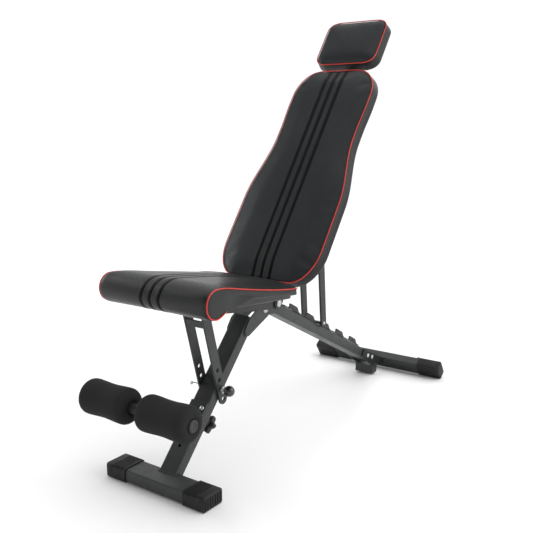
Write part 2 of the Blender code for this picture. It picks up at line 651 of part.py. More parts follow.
def seat_profile():
    c, r = SEAT_ROLL, SEAT_ROLL_R
    top_y = c[0] + 0.040
    top_z = c[1] + r - 0.004
    pts = arc(c, r, math.radians(80), math.radians(290), 16)
    pts.append((c[0] + 0.030, c[1] - r + 0.007))
    pts.append(SEAT_UNDER_FRONT)
    pts.append(SEAT_UNDER_REAR)
    pts.append((SEAT_TOP_REAR[0] + 0.002, SEAT_TOP_REAR[1] - 0.007))
    pts.append((SEAT_TOP_REAR[0] - 0.006, SEAT_TOP_REAR[1]))
    steps = 8
    for i in range(1, steps):
        t = i / steps
        y = SEAT_TOP_REAR[0] + t * (top_y - SEAT_TOP_REAR[0])
        z = SEAT_TOP_REAR[1] + (t ** 1.25) * (top_z - SEAT_TOP_REAR[1])
        pts.append((y, z))
    pts.append((top_y, top_z))
    pts.append((c[0] + 0.022, c[1] + r - 0.0012))
    return pts


def inset_outline(pts, d):
    """Moves every point of an outline inwards by about d."""
    out = []
    n = len(pts)
    area = sum(turn((0, 0), pts[i], pts[(i + 1) % n]) for i in range(n))
    flip = 1.0 if area > 0 else -1.0
    for i in range(n):
        a, b, c = Vector(pts[i - 1]), Vector(pts[i]), Vector(pts[(i + 1) % n])
        t = ((b - a).normalized() + (c - b).normalized()).normalized()
        out.append((b.x - flip * t.y * d, b.y + flip * t.x * d))
    return out


def build_seat(m, axis):
    under = math.atan2(SEAT_UNDER_REAR[1] - SEAT_UNDER_FRONT[1],
                       SEAT_UNDER_REAR[0] - SEAT_UNDER_FRONT[0])
    profile = local(seat_profile(), BACK_PIVOT)
    half = SEAT_W / 2
    rings = []
    for x, d in ((-half, SEAT_EDGE), (-half + 0.002, SEAT_EDGE * 0.4), (-half + SEAT_EDGE, 0.0),
                 (half - SEAT_EDGE, 0.0), (half - 0.002, SEAT_EDGE * 0.4), (half, SEAT_EDGE)):
        rings.append([(x, y, z) for y, z in (inset_outline(profile, d) if d else profile)])
    attach(add_object("seat_pad", rings_solid(rings), m["vinyl"], BACK_PIVOT), axis)
    for side, tag in ((1, "R"), (-1, "L")):
        drop = SEAT_BAR_T + 2 * GAP
        nose, belly, tail = [hung((y, 0.0))[0] for y in SEAT_PLATE_Y]
        outline = hull([(BACK_PIVOT, HINGE_R), ((nose, seat_under(nose) - drop - 0.0175), 0.017),
                        ((tail, seat_under(tail) - drop - 0.0150), 0.0145),
                        ((belly, seat_under(belly) - drop - 0.018), 0.0175)])
        obj = add_object("seat_side_plate_" + tag, prism_x(local(outline, BACK_PIVOT),
                         *side_x(side, SEAT_PLATE_IN, PLATE_T)), m["dark_steel"], BACK_PIVOT)
        drill(obj, [BACK_PIVOT], BACK_BOLT_R + HOLE_FIT)
        d = unit(SLOT_ANGLE)
        ends = [(ARM_TOP[0] + t * d.x, ARM_TOP[1] + t * d.y) for t in (SLOT_FROM, SLOT_TO)]
        cut(obj, prism_x(local(slot_outline(ends[0], ends[1], SLOT_R), ARM_TOP), -0.1, 0.1),
            "cut_slot_" + tag, ARM_TOP)
        attach(obj, axis)
    for at, tag in zip(SEAT_BAR_Y, ("front", "rear")):
        y = hung((at, 0.0))[0]
        top = (y, seat_under(y) - GAP)
        bar = box(-SEAT_BAR_W / 2, SEAT_BAR_W / 2, -SEAT_BAR_D / 2, SEAT_BAR_D / 2, -SEAT_BAR_T, 0.0)
        attach(add_object("seat_cross_bar_" + tag, bar, m["dark_steel"], top, under), axis)


# ================================================================ backrest
def back_half_width(v):
    """Half width of the backrest pad at a distance v up from its lower end."""
    def ease(a, b):
        t = min(max((v - a) / (b - a), 0.0), 1.0)
        return t * t * (3 - 2 * t)
    w = HIP_W + (WAIST_W - HIP_W) * ease(0.24, 0.44) + (SHOULDER_W - WAIST_W) * ease(0.47, 0.56)
    w /= 2
    low, high = 0.120, 0.085
    if v < low:
        t = 1 - v / low
        w -= 0.075 * (1 - math.sqrt(max(1 - t * t, 0.0)))
    if v > PAD_L - high:
        t = 1 - (PAD_L - v) / high
        w -= 0.070 * (1 - math.sqrt(max(1 - t * t, 0.0)))
    return w


def back_outline():
    stations = [0.0, 0.006, 0.018, 0.036, 0.062, 0.095, 0.14, 0.20, 0.26, 0.31, 0.36, 0.41, 0.46,
                0.52, 0.56, 0.592]
    stations += [PAD_L - d for d in (0.055, 0.030, 0.014, 0.004, 0.0)]
    right = [(back_half_width(v), v) for v in stations]
    left = [(-w, v) for w, v in right[::-1]]
    return right + left


def pad_solid(outline, z_face, thick, edge):
    """Pad from a plan outline (x, along), its face crowned down at the rim."""
    rings = []
    for z, d in ((z_face - thick, 0.003), (z_face - thick + 0.004, 0.0), (z_face - edge, 0.0),
                 (z_face - edge * 0.3, edge * 0.35), (z_face, edge)):
        pts = inset_outline(outline, d) if d else outline
        rings.append([(x, y, z) for x, y in pts])
    return rings_solid(rings)


def back_frame_z():
    """Top of the backrest frame tubes, under the cross plates and the pad."""
    return FACE_OUT - PAD_T - GAP - CROSS_T - GAP


def build_back(m, axis):
    top = back_frame_z()
    mid = top - BACK_TUBE_D / 2
    pad = pad_solid([(x, v + PAD_START) for x, v in back_outline()], FACE_OUT, PAD_T, 0.010)
    attach(add_object("backrest_pad", pad, m["vinyl"], BACK_PIVOT, BACK_ANGLE), axis)
    strut = along(BACK_PIVOT, BACK_ANGLE, STRUT_AT, mid)
    for side, tag in ((1, "R"), (-1, "L")):
        x = side * (BACK_TUBE_IN + BACK_TUBE_W / 2)
        data = tube_y(BACK_TUBE_W, BACK_TUBE_D, BACK_TUBE_WALL, 0.003, BACK_TUBE_FROM, BACK_TUBE_TO)
        tube = add_object("backrest_tube_" + tag, data, m["dark_steel"], BACK_PIVOT, BACK_ANGLE, x)
        drill(tube, [strut], STRUT_ROD_R + HOLE_FIT)
        attach(tube, axis)
        outline = hull([((0.0, 0.0), HINGE_R), ((0.175, mid), 0.012)])
        lug = add_object("backrest_lug_" + tag, prism_x(outline, *side_x(side, LUG_IN, PLATE_T)),
                         m["dark_steel"], BACK_PIVOT, BACK_ANGLE)
        drill(lug, [BACK_PIVOT], BACK_BOLT_R + HOLE_FIT)
        attach(lug, axis)
    half = BACK_TUBE_IN + BACK_TUBE_W
    for y, tag in ((0.140, "low"), (0.505, "mid"), (0.610, "high")):
        data = box(-half, half, y - CROSS_D / 2, y + CROSS_D / 2, top + GAP, top + GAP + CROSS_T)
        attach(add_object("back_cross_plate_" + tag, data, m["dark_steel"], BACK_PIVOT,
                          BACK_ANGLE), axis)
    attach(build_sleeve(m, top), axis)
    rod_half = BACK_TUBE_IN + BACK_TUBE_W + GAP
    attach(bolt_x("strut_pivot_rod", strut, STRUT_ROD_R, rod_half, 0.009, m["zinc"], 0.003), axis)
    return strut


def head_post_z():
    """Centre of the headrest's post, behind its pad, plate and block."""
    back = FACE_OUT - HEAD_PAD_T - GAP - HEAD_PLATE_T - GAP - HEAD_BLOCK_T - GAP
    return back - HEAD_POST / 2


def build_sleeve(m, top):
    """Guide for the headrest's post, as deep as it takes to reach the cross plates."""
    bore = HEAD_POST / 2 + SLIDE_FIT
    mid = head_post_z()
    inner = [(bore, bore), (-bore, bore), (-bore, -bore), (bore, -bore)]
    w, low = bore + SLEEVE_WALL, mid - bore - SLEEVE_WALL
    outer = [(w, top), (-w, top), (-w, low), (w, low)]
    inner = [(a, b + mid) for a, b in inner]
    rings = [[(a, y, b) for a, b in loop] for loop, y in
             ((outer, SLEEVE_FROM), (outer, SLEEVE_TO), (inner, SLEEVE_TO), (inner, SLEEVE_FROM))]
    return add_object("headrest_sleeve", rings_solid(rings, close=True), m["dark_steel"],
                      BACK_PIVOT, BACK_ANGLE)


# ================================================================ strut
def build_strut(m, axis, pivot):
    a, up = rod_centre(REST_NOTCH)
    foot = rail_point(a, TUBE_H / 2 + up)
    for side, tag in ((1, "R"), (-1, "L")):
        outline = hull([(pivot, STRUT_W / 2), (foot, 0.0095)])
        leg = add_object("strut_leg_" + tag, prism_x(local(outline, pivot),
                         *side_x(side, STRUT_IN, STRUT_T)), m["dark_steel"], pivot)
        drill(leg, [pivot], STRUT_ROD_R + HOLE_FIT)
        drill(leg, [foot], NOTCH_ROD_R + HOLE_FIT)
        attach(leg, axis)
    half = STRUT_IN + STRUT_T + 0.0015
    rod = lathe_x([(-half, NOTCH_ROD_R * 0.8), (-half + 0.001, NOTCH_ROD_R),
                   (half - 0.001, NOTCH_ROD_R), (half, NOTCH_ROD_R * 0.8)])
    attach(add_object("strut_rod", rod, m["zinc"], foot), axis)


# ================================================================ headrest
def build_head(m, axis):
    mid = head_post_z()
    start = PAD_START + PAD_L + HEAD_GAP
    centre = start + HEAD_L / 2
    outline = [(x, y + centre) for x, y in rounded_rect(HEAD_W, HEAD_L, 0.030, 5)]
    pad = pad_solid(outline, FACE_OUT, HEAD_PAD_T, 0.009)
    attach(add_object("headrest_pad", pad, m["vinyl"], BACK_PIVOT, BACK_ANGLE), axis)
    back = FACE_OUT - HEAD_PAD_T - GAP
    plate = box(-HEAD_PLATE_W / 2, HEAD_PLATE_W / 2, centre - HEAD_PLATE_L / 2,
                centre + HEAD_PLATE_L / 2, back - HEAD_PLATE_T, back)
    attach(add_object("headrest_plate", plate, m["dark_steel"], BACK_PIVOT, BACK_ANGLE), axis)
    top = mid + HEAD_POST / 2
    block = box(-0.018, 0.018, centre - 0.028, centre + 0.028, top + GAP, back - HEAD_PLATE_T - GAP)
    attach(add_object("headrest_mount_block", block, m["dark_steel"], BACK_PIVOT, BACK_ANGLE), axis)
    data = tube_y(HEAD_POST, HEAD_POST, HEAD_POST_WALL, 0.003, HEAD_POST_FROM, centre + 0.034)
    bmesh.ops.translate(data, verts=data.verts, vec=(0, 0, mid))
    attach(add_object("headrest_post", data, m["steel"], BACK_PIVOT, BACK_ANGLE), axis)


# ================================================================ assembly
def build():
    clear_scene()
    m = {
        "steel": material("powder_coat_grey", (0.085, 0.09, 0.095), 0.38, 0.35),
        "dark_steel": material("powder_coat_black", (0.02, 0.021, 0.023), 0.42, 0.3),
        "zinc": material("zinc_plated", (0.62, 0.63, 0.65), 0.3, 1.0),
        "rubber": material("black_rubber", (0.018, 0.018, 0.02), 0.6),
        "plastic": material("black_plastic", (0.015, 0.015, 0.016), 0.45),
        "gloss": material("gloss_black", (0.01, 0.01, 0.011), 0.12),
        "foam": material("foam_black", (0.022, 0.022, 0.024), 0.9),
        "vinyl": material("black_vinyl", (0.02, 0.021, 0.024), 0.45),
    }
    build_rail(m)
    fold = empty("fold_axis", POST_PIVOT)
    build_post(m, fold)
    build_rollers(m, fold)
    for side, tag in ((1, "R"), (-1, "L")):
        spin = attach(empty("roller_axis_" + tag, ROLLER_AXIS, 0.0, side * ROLLER_MID), fold)
        build_foam(m, side, tag, spin)
    turn_axis = empty("knob_axis", along(POST_BASE, POST_ANGLE, CLAMP_AT), POST_ANGLE)
    build_knob(m, attach(turn_axis, fold))
    build_pin(m, attach(empty("pin_axis", PIN_POINT), fold))
    build_arms(m, attach(empty("arm_axis", PIN_POINT), fold))
    build_seat(m, empty("seat_axis", BACK_PIVOT))
    back = empty("backrest_axis", BACK_PIVOT, BACK_ANGLE)
    pivot = build_back(m, back)
    build_strut(m, attach(empty("strut_axis", pivot), back), pivot)
    build_head(m, attach(empty("headrest_axis", BACK_PIVOT, BACK_ANGLE), back))


build()
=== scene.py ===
"""The looks of a folding decline sit-up bench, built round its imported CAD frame.

Axes as in the frame: X across the bench (+X is the ball knob's side), Y from the foam
rollers to the rear foot, Z up, metres, origin on the floor.
"""
import json
import math
import random

import bmesh
import bpy
import numpy as np
from mathutils import Matrix, Vector
from mathutils.bvhtree import BVHTree


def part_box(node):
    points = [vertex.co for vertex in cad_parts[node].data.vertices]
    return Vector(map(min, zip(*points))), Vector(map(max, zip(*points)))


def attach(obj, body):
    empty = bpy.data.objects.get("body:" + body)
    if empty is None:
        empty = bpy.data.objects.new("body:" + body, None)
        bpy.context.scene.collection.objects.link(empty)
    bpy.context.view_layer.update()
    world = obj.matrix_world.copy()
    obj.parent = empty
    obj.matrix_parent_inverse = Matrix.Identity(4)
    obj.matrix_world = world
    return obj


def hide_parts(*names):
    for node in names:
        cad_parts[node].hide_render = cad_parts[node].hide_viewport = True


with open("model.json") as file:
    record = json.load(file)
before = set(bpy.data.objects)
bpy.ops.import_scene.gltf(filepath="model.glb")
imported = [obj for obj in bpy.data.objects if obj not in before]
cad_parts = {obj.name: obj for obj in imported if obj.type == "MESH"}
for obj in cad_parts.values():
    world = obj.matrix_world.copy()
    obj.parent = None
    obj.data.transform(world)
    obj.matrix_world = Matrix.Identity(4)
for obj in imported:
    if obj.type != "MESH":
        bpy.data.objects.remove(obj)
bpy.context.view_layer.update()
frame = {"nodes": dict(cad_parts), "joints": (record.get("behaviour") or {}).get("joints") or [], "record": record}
NODES = frame["nodes"]
JOINTS = {j["name"]: j for j in frame["joints"]}

# ---------------- sizes of the looks
PIPING_R, PIPING_STEP = 0.0015, 0.005
PIPING_OUT, PIPING_UP = 0.0006, 0.0008      # the piping's middle, from the seam
PAD_CELL = 0.0075               # grid spacing on the pads
PAD_RIM_R, PAD_RIM_DROP = 0.042, 0.0100     # rounding from a pad's face down to its seam
PAD_FLARE = 0.0090              # side bands lean out by this much from seam to back
BACK_CAP, HEAD_CAP, SEAT_CAP = 0.0035, 0.003, 0.0032    # most that each simulated cover moves
CLOTH_FRAMES, CLOTH_PRESSURE = 20, 4.0
STRIPE_W, STRIPE_PITCH, STRIPE_PROUD = 0.0125, 0.0260, 0.0004
STRIPE_SINK, STRIPE_END, STRIPE_ROWS = 0.0004, 0.004, 110
BAND_LEVELS = ((0.10, 0.16), (0.32, 0.52), (0.60, 0.84),    # depth, share of the lean outwards
               (0.85, 1.0), (0.96, 0.96), (1.0, 0.72))
BACK_SHARE = 0.985              # width of the flat back inside its edge
END_FLARE, HEAD_END_FLARE = 0.15, 0.6       # share of a pad's lean at its two ends
SEAT_RIM, SEAT_RIM_W = 0.0045, 0.012        # rounding of the seat's side edges: depth, width
SEAT_CELL = 0.0065              # spacing of points round the seat's side view
STRUT_FOOT_R, STRUT_TOP_R = 0.0130, 0.0150  # round ends of the strut's bars
TWILL_CELL, BAND_RIB = 0.0019, 0.0022       # weave of the twill, ribs of the stripes
GROOVE, GROOVE_FROM = 0.0024, 0.0060        # depth and first place of the boots' grooves
GROOVE_PITCH, GROOVE_SHARE = 0.0062, 0.42
BOOT_ROUND, BOOT_END = 0.0065, 0.006        # corner radius and closed end of a foot's boot
EDGE_SOFT, EDGE_SLIGHT = 0.0007, 0.0003     # bevels on the flat plates' edges and on the rest
WALL_LIGHT, CEILING = 1.02, 0.08            # the studio's brightness round about and above

# backrest's plan, along the pad from its lower end
WAIST_SHARE, SHOULDER_SHARE = 0.823, 0.845  # half widths, as shares of the hip's
HIP_END, WAIST_FROM, WAIST_END, SHOULDER_FROM = 0.24, 0.44, 0.47, 0.56
LOW_ROUND, LOW_IN = 0.100, 0.066            # corners at the lower end: length, width
HIGH_ROUND, HIGH_IN = 0.085, 0.070          # and at the upper end

# seat's side view
SEAT_ROLL_R, SEAT_TOP_FLAT = 0.0355, 0.040
BOARD_T = 0.0110                # the seat's board below its cover
ROLL_DEPTH, UNDER_RISE = 0.085, 0.027       # where the underside starts, and its slope's rise
SEAT_CROWN = 0.0095             # how far the seat's top stands above its side seams


# ---------------- material helpers
class Mat:
    """One node material: a Principled shader and helpers that wire textures into it."""

    def __init__(self, name, colour, rough, metal=0.0, **sockets):
        self.mat = bpy.data.materials.new(name)
        self.mat.use_nodes = True
        self.tree = self.mat.node_tree
        self.bsdf = self.tree.nodes["Principled BSDF"]
        self.bsdf.inputs["Base Color"].default_value = (*colour, 1.0)
        self.bsdf.inputs["Roughness"].default_value = rough
        self.bsdf.inputs["Metallic"].default_value = metal
        for key, value in sockets.items():
            self.bsdf.inputs[key.replace("_", " ")].default_value = value
        self.coord = self.add("ShaderNodeTexCoord")

    def add(self, kind, **props):
        node = self.tree.nodes.new(kind)
        for key, value in props.items():
            setattr(node, key, value)
        return node

    def link(self, a, b):
        self.tree.links.new(a, b)

    def noise(self, scale, detail=4.0, rough=0.5, stretch=None):
        node = self.add("ShaderNodeTexNoise")
        for key, value in (("Scale", scale), ("Detail", detail), ("Roughness", rough)):
            node.inputs[key].default_value = value
        vector = self.coord.outputs["Object"]
        if stretch:
            mapping = self.add("ShaderNodeMapping")
            mapping.inputs["Scale"].default_value = stretch
            self.link(vector, mapping.inputs["Vector"])
            vector = mapping.outputs["Vector"]
        self.link(vector, node.inputs["Vector"])
        return node.outputs["Fac"]

    def cells(self, scale, feature="F1"):
        node = self.add("ShaderNodeTexVoronoi", feature=feature)
        node.inputs["Scale"].default_value = scale
        self.link(self.coord.outputs["Object"], node.inputs["Vector"])
        return node.outputs["Distance"]

    def cloth_uv(self):
        """The piece's own map in metres: across and along."""
        uv = self.add("ShaderNodeUVMap", uv_map="cloth")
        parts = self.add("ShaderNodeSeparateXYZ")
        self.link(uv.outputs["UV"], parts.inputs[0])
        return parts.outputs["X"], parts.outputs["Y"]

    def math(self, op, a, b=None, c=None):
        node = self.add("ShaderNodeMath", operation=op)
        for i, value in enumerate((a, b, c)):
            if isinstance(value, (int, float)):
                node.inputs[i].default_value = value
            elif value is not None:
                self.link(value, node.inputs[i])
        return node.outputs[0]

    def spread(self, fac, low, high):
        """Maps a texture's middle values onto low..high."""
        node = self.add("ShaderNodeMapRange")
        for key, value in (("From Min", 0.3), ("From Max", 0.7), ("To Min", low), ("To Max", high)):
            node.inputs[key].default_value = value
        self.link(fac, node.inputs["Value"])
        return node.outputs["Result"]

    def colour(self, fac, a, b):
        """Base colour between two tones."""
        node = self.add("ShaderNodeMix", data_type="RGBA")
        self.link(fac, node.inputs["Factor"])
        node.inputs[6].default_value = (*a, 1.0)
        node.inputs[7].default_value = (*b, 1.0)
        self.link(node.outputs[2], self.bsdf.inputs["Base Color"])

    def drift(self, texture, a, b):
        """Base colour that wanders between two tones with a texture."""
        self.colour(self.spread(texture, 0.0, 1.0), a, b)

    def wear(self, texture, low, high):
        """Roughness that wanders between two values with a texture."""
        self.rough(self.spread(texture, low, high))

    def bump(self, height, strength, distance):
        node = self.add("ShaderNodeBump")
        node.inputs["Strength"].default_value = strength
        node.inputs["Distance"].default_value = distance
        self.link(height, node.inputs["Height"])
        self.link(node.outputs["Normal"], self.bsdf.inputs["Normal"])

    def rough(self, socket):
        self.link(socket, self.bsdf.inputs["Roughness"])


def powder_coat(name, dark, light, rough):
    """Powder-coated steel: a fine orange peel, slight colour drift, duller handled patches."""
    m = Mat(name, dark, rough, 0.0, Specular_IOR_Level=0.45)
    m.drift(m.noise(9.0, 5.0, 0.6), dark, light)
    m.wear(m.noise(38.0, 6.0, 0.65), rough - 0.06, rough + 0.12)
    m.bump(m.noise(900.0, 2.0), 0.12, 0.0006)
    return m.mat


def zinc(name):
    """Plated steel with fine streaks along X."""
    tone = (0.60, 0.61, 0.63)
    m = Mat(name, tone, 0.28, 1.0)
    streak = m.noise(260.0, 3.0, 0.6, stretch=(0.12, 1.0, 1.0))
    m.drift(m.noise(120.0), tone, tuple(0.72 * t for t in tone))
    m.wear(streak, 0.2, 0.42)
    m.bump(streak, 0.1, 0.0002)
    return m.mat


def rubber(name):
    """Matt moulded rubber with a fine pebbled skin."""
    m = Mat(name, (0.010, 0.010, 0.011), 0.55, 0.0, Specular_IOR_Level=0.3)
    m.drift(m.noise(26.0, 6.0, 0.7), (0.006, 0.006, 0.007), (0.014, 0.014, 0.015))
    m.wear(m.noise(70.0), 0.45, 0.68)
    m.bump(m.noise(1400.0, 2.0), 0.2, 0.0004)
    return m.mat


def moulded(name, tone, rough):
    """Moulded plastic with a fine sparked texture."""
    m = Mat(name, tone, rough)
    m.drift(m.noise(60.0), tone, tuple(1.6 * t for t in tone))
    m.wear(m.noise(150.0, 3.0), rough - 0.06, rough + 0.08)
    m.bump(m.cells(1500.0), 0.15, 0.0003)
    return m.mat


def polished(name):
    """Glossy black plastic, slightly smeared."""
    m = Mat(name, (0.008, 0.008, 0.009), 0.08, 0.0, Coat_Weight=0.6, Coat_Roughness=0.04)
    m.wear(m.noise(90.0, 6.0, 0.7), 0.06, 0.16)
    m.bump(m.noise(45.0, 2.0), 0.02, 0.0005)
    return m.mat


def foam(name):
    """Closed-cell foam with a fine pebbled skin."""
    m = Mat(name, (0.02, 0.02, 0.021), 0.85, 0.0, Specular_IOR_Level=0.25)
    pores = m.cells(900.0)
    blotch = m.noise(16.0, 6.0, 0.65)
    m.drift(blotch, (0.008, 0.008, 0.0085), (0.017, 0.017, 0.0175))
    m.wear(blotch, 0.78, 0.95)
    height = m.math("ADD", m.math("MULTIPLY", pores, 0.6), m.math("MULTIPLY", blotch, 0.7))
    m.bump(height, 0.35, 0.0012)
    return m.mat


def leatherette(name, dark, light, rough):
    """Vinyl with a fine leather grain: shallow cells, soft broad wear."""
    m = Mat(name, dark, rough, 0.0, Specular_IOR_Level=0.24)
    cells = m.cells(520.0, "DISTANCE_TO_EDGE")
    crease = m.math("MINIMUM", m.math("MULTIPLY", cells, 6.0), 1.0)
    grain = m.noise(700.0, 3.0, 0.6)
    m.drift(m.noise(7.0, 5.0, 0.6), dark, light)
    m.wear(m.noise(24.0, 5.0, 0.6), rough - 0.05, rough + 0.09)
    height = m.math("ADD", crease, m.math("MULTIPLY", grain, 0.5))
    m.bump(height, 0.22, 0.0007)
    return m.mat


def twill_vinyl(name, dark, light, rough):
    """Vinyl printed and embossed as a 2 by 2 twill, laid along the piece's own UV map in metres."""
    m = Mat(name, dark, rough, 0.0, Specular_IOR_Level=0.32)
    across, along = m.cloth_uv()
    u = m.math("DIVIDE", across, TWILL_CELL)
    v = m.math("DIVIDE", along, TWILL_CELL)
    step = m.math("ADD", m.math("FLOOR", u), m.math("FLOOR", v))
    over = m.math("LESS_THAN", m.math("FLOORED_MODULO", step, 4.0), 1.9)
    across_u = m.math("SINE", m.math("MULTIPLY", m.math("FRACT", u), math.pi))
    across_v = m.math("SINE", m.math("MULTIPLY", m.math("FRACT", v), math.pi))
    warp = m.math("MULTIPLY", over, across_u)
    weft = m.math("MULTIPLY", m.math("SUBTRACT", 1.0, over), m.math("MULTIPLY", across_v, 0.75))
    height = m.math("ADD", m.math("MULTIPLY", over, 0.35), m.math("ADD", warp, weft))
    m.colour(over, dark, light)
    m.rough(m.math("MULTIPLY_ADD", over, -0.10, rough))
    m.bump(height, 0.35, 0.0005)
    return m.mat


def red_piping(name):
    """Vinyl-covered seam cord."""
    m = Mat(name, (0.50, 0.020, 0.012), 0.4, 0.0, Specular_IOR_Level=0.4)
    m.drift(m.noise(40.0), (0.44, 0.016, 0.010), (0.58, 0.030, 0.018))
    m.wear(m.noise(200.0, 3.0), 0.32, 0.5)
    m.bump(m.noise(1500.0, 2.0), 0.25, 0.0004)
    return m.mat


def ribbed_band(name):
    """Matt black band with fine cross ribs."""
    m = Mat(name, (0.001, 0.001, 0.001), 0.4, 0.0, Specular_IOR_Level=0.10)
    rib = m.math("SINE", m.math("MULTIPLY", m.cloth_uv()[1], 2 * math.pi / BAND_RIB))
    m.drift(m.noise(50.0), (0.0006, 0.0007, 0.0009), (0.0014, 0.0015, 0.0018))
    m.wear(m.noise(300.0, 2.0), 0.36, 0.5)
    m.bump(rib, 0.3, 0.0003)
    return m.mat


def backing_cloth(name):
    """Non-woven cover stapled under the boards."""
    m = Mat(name, (0.012, 0.012, 0.013), 0.9, 0.0, Sheen_Weight=0.15)
    fibre = m.noise(420.0, 8.0, 0.75)
    m.drift(fibre, (0.008, 0.008, 0.009), (0.020, 0.020, 0.022))
    m.wear(fibre, 0.85, 0.97)
    m.bump(fibre, 0.5, 0.0008)
    return m.mat


LOOKS = {
    "steel_grey": powder_coat("steel_grey", (0.020, 0.0225, 0.0215), (0.028, 0.031, 0.0295), 0.40),
    "steel_black": powder_coat("steel_black", (0.009, 0.0095, 0.010), (0.014, 0.0148, 0.0155), 0.42),
    "zinc": zinc("zinc"),
    "rubber_black": rubber("rubber_black"),
    "plastic_black": moulded("plastic_black", (0.007, 0.007, 0.0075), 0.45),
    "plastic_gloss": polished("plastic_gloss"),
    "foam_black": foam("foam_black"),
    "vinyl": leatherette("vinyl", (0.0105, 0.0125, 0.0138), (0.0150, 0.0178, 0.0195), 0.45),
    "twill": twill_vinyl("twill", (0.003, 0.0033, 0.0036), (0.012, 0.013, 0.014), 0.38),
    "piping": red_piping("piping"),
    "stripe": ribbed_band("stripe"),
    "backing": backing_cloth("backing"),
}
SLOTS = {s["node"]: s["material_slot"] for s in frame["record"]["subparts"]}


# ---------------- mesh helpers
def make_piece(name, verts, faces, looks, body, uvs=None, face_look=None, smooth=True):
    """Builds a mesh object from lists, gives it materials and rides it on a body."""
    mesh = bpy.data.meshes.new(name)
    mesh.from_pydata([tuple(v) for v in verts], [], [tuple(f) for f in faces])
    for look in looks:
        mesh.materials.append(LOOKS[look])
    if face_look is not None:
        mesh.polygons.foreach_set("material_index", face_look)
    if uvs is not None:
        layer = mesh.uv_layers.new(name="cloth")
        for loop, uv in zip(layer.data, uvs):
            loop.uv = uv
    mesh.update()
    if smooth:
        mesh.shade_smooth()
    obj = bpy.data.objects.new(name, mesh)
    bpy.context.scene.collection.objects.link(obj)
    face_out(obj)
    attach(obj, body)
    return obj


def fitted(name, rings, look, body, node=None, sharp=None, close=False, slot=None):
    """A piece skinned from rings, edges kept sharp above an angle, in place of a CAD node."""
    verts, faces = skin(rings, close)
    obj = make_piece(name, verts, faces, [look], body)
    if sharp:
        obj.data.set_sharp_from_angle(angle=math.radians(sharp))
    if node:
        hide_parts(node)
    return obj


def lathed(name, centre, axis, profile, sides, look, body, node=None, sharp=None, **more):
    """A fitted piece turned from a profile about an axis."""
    return fitted(name, turned(centre, axis, profile, sides), look, body, node, sharp, **more)


def face_out(obj):
    """Turns all faces of a closed mesh outwards."""
    bm = bmesh.new()
    bm.from_mesh(obj.data)
    bmesh.ops.recalc_face_normals(bm, faces=bm.faces)
    bm.to_mesh(obj.data)
    bm.free()


def skin(rings, close=False):
    """Vertices and faces of equal-length rings skinned in order."""
    n = len(rings[0])
    loops = [range(k * n, (k + 1) * n) for k in range(len(rings))]
    faces = []
    for a, b in zip(loops, loops[1:] + loops[:1] if close else loops[1:]):
        bridge(faces, a, b)
    if not close:
        faces += [tuple(loops[0])[::-1], tuple(loops[-1])]
    return [p for ring in rings for p in ring], faces


def bridge(faces, before, now):
    """Faces between two loops of vertex numbers."""
    for k in range(len(now)):
        m = (k + 1) % len(now)
        faces.append((before[k], before[m], now[m], now[k]))


def basis_for(axis):
    """Two unit vectors square to an axis."""
    axis = Vector(axis).normalized()
    side = Vector((1, 0, 0)) if abs(axis.x) < 0.9 else Vector((0, 1, 0))
    u = (side - axis * side.dot(axis)).normalized()
    return u, axis.cross(u)


def spoke(u, v, angle):
    """Unit vector at an angle in the plane of u and v."""
    return u * math.cos(angle) + v * math.sin(angle)


def turned(centre, axis, profile, segments, shape=None):
    """Rings of a profile of (along, radius) turned about an axis; shape(angle, r, i) bends them."""
    centre, axis = Vector(centre), Vector(axis).normalized()
    u, v = basis_for(axis)
    rings = []
    for i, (s, r) in enumerate(profile):
        ring = []
        for k in range(segments):
            a = 2 * math.pi * k / segments
            q = shape(a, r, i) if shape else r
            ring.append(centre + axis * s + spoke(u, v, a) * q)
        rings.append(ring)
    return rings


def arc(centre, radius, start, end, steps):
    """Points of a circle's arc in a plane."""
    out = []
    for i in range(steps + 1):
        a = start + (end - start) * i / steps
        out.append((centre[0] + radius * math.cos(a), centre[1] + radius * math.sin(a)))
    return out


def loop_lengths(points):
    """Distance along a closed loop up to each point, and back to the first."""
    run = [0.0]
    for k, a in enumerate(points):
        b = points[(k + 1) % len(points)]
        run.append(run[-1] + math.hypot(b[0] - a[0], b[1] - a[1]))
    return run


def resample(points, spacing, closed):
    """Even points along a polyline."""
    pts = [Vector(p) for p in points]
    if closed:
        pts.append(pts[0])
    lengths = [0.0]
    for a, b in zip(pts, pts[1:]):
        lengths.append(lengths[-1] + (b - a).length)
    count = max(8, round(lengths[-1] / spacing))
    marks = [lengths[-1] * i / count for i in range(count if closed else count + 1)]
    xyz = np.array([tuple(p) for p in pts])
    cols = [np.interp(marks, lengths, xyz[:, k]) for k in range(xyz.shape[1])]
    return [Vector(p) for p in zip(*cols)]


def smoothed(points, closed, rounds):
    """Each point drawn towards its neighbours, a few times over."""
    for _ in range(rounds):
        out = []
        n = len(points)
        for i, p in enumerate(points):
            if not closed and i in (0, n - 1):
                out.append(p.copy())
            else:
                out.append(p * 0.5 + (points[i - 1] + points[(i + 1) % n]) * 0.25)
        points = out
    return points


def tube_along(points, radius, closed, segments=10):
    """Rings of a round tube that follows a line of points, domed at open ends."""
    n = len(points)
    rings = []
    last = None
    for i, p in enumerate(points):
        a = points[i - 1] if closed or i > 0 else p
        b = points[(i + 1) % n] if closed or i < n - 1 else p
        t = (b - a).normalized()
        if last is None:
            last = basis_for(t)[0]
        u = (last - t * last.dot(t)).normalized()
        v = t.cross(u)
        last = u
        rings.append([p + spoke(u, v, 2 * math.pi * k / segments) * radius for k in range(segments)])
    return rings if closed else dome_ends(points, rings, radius)


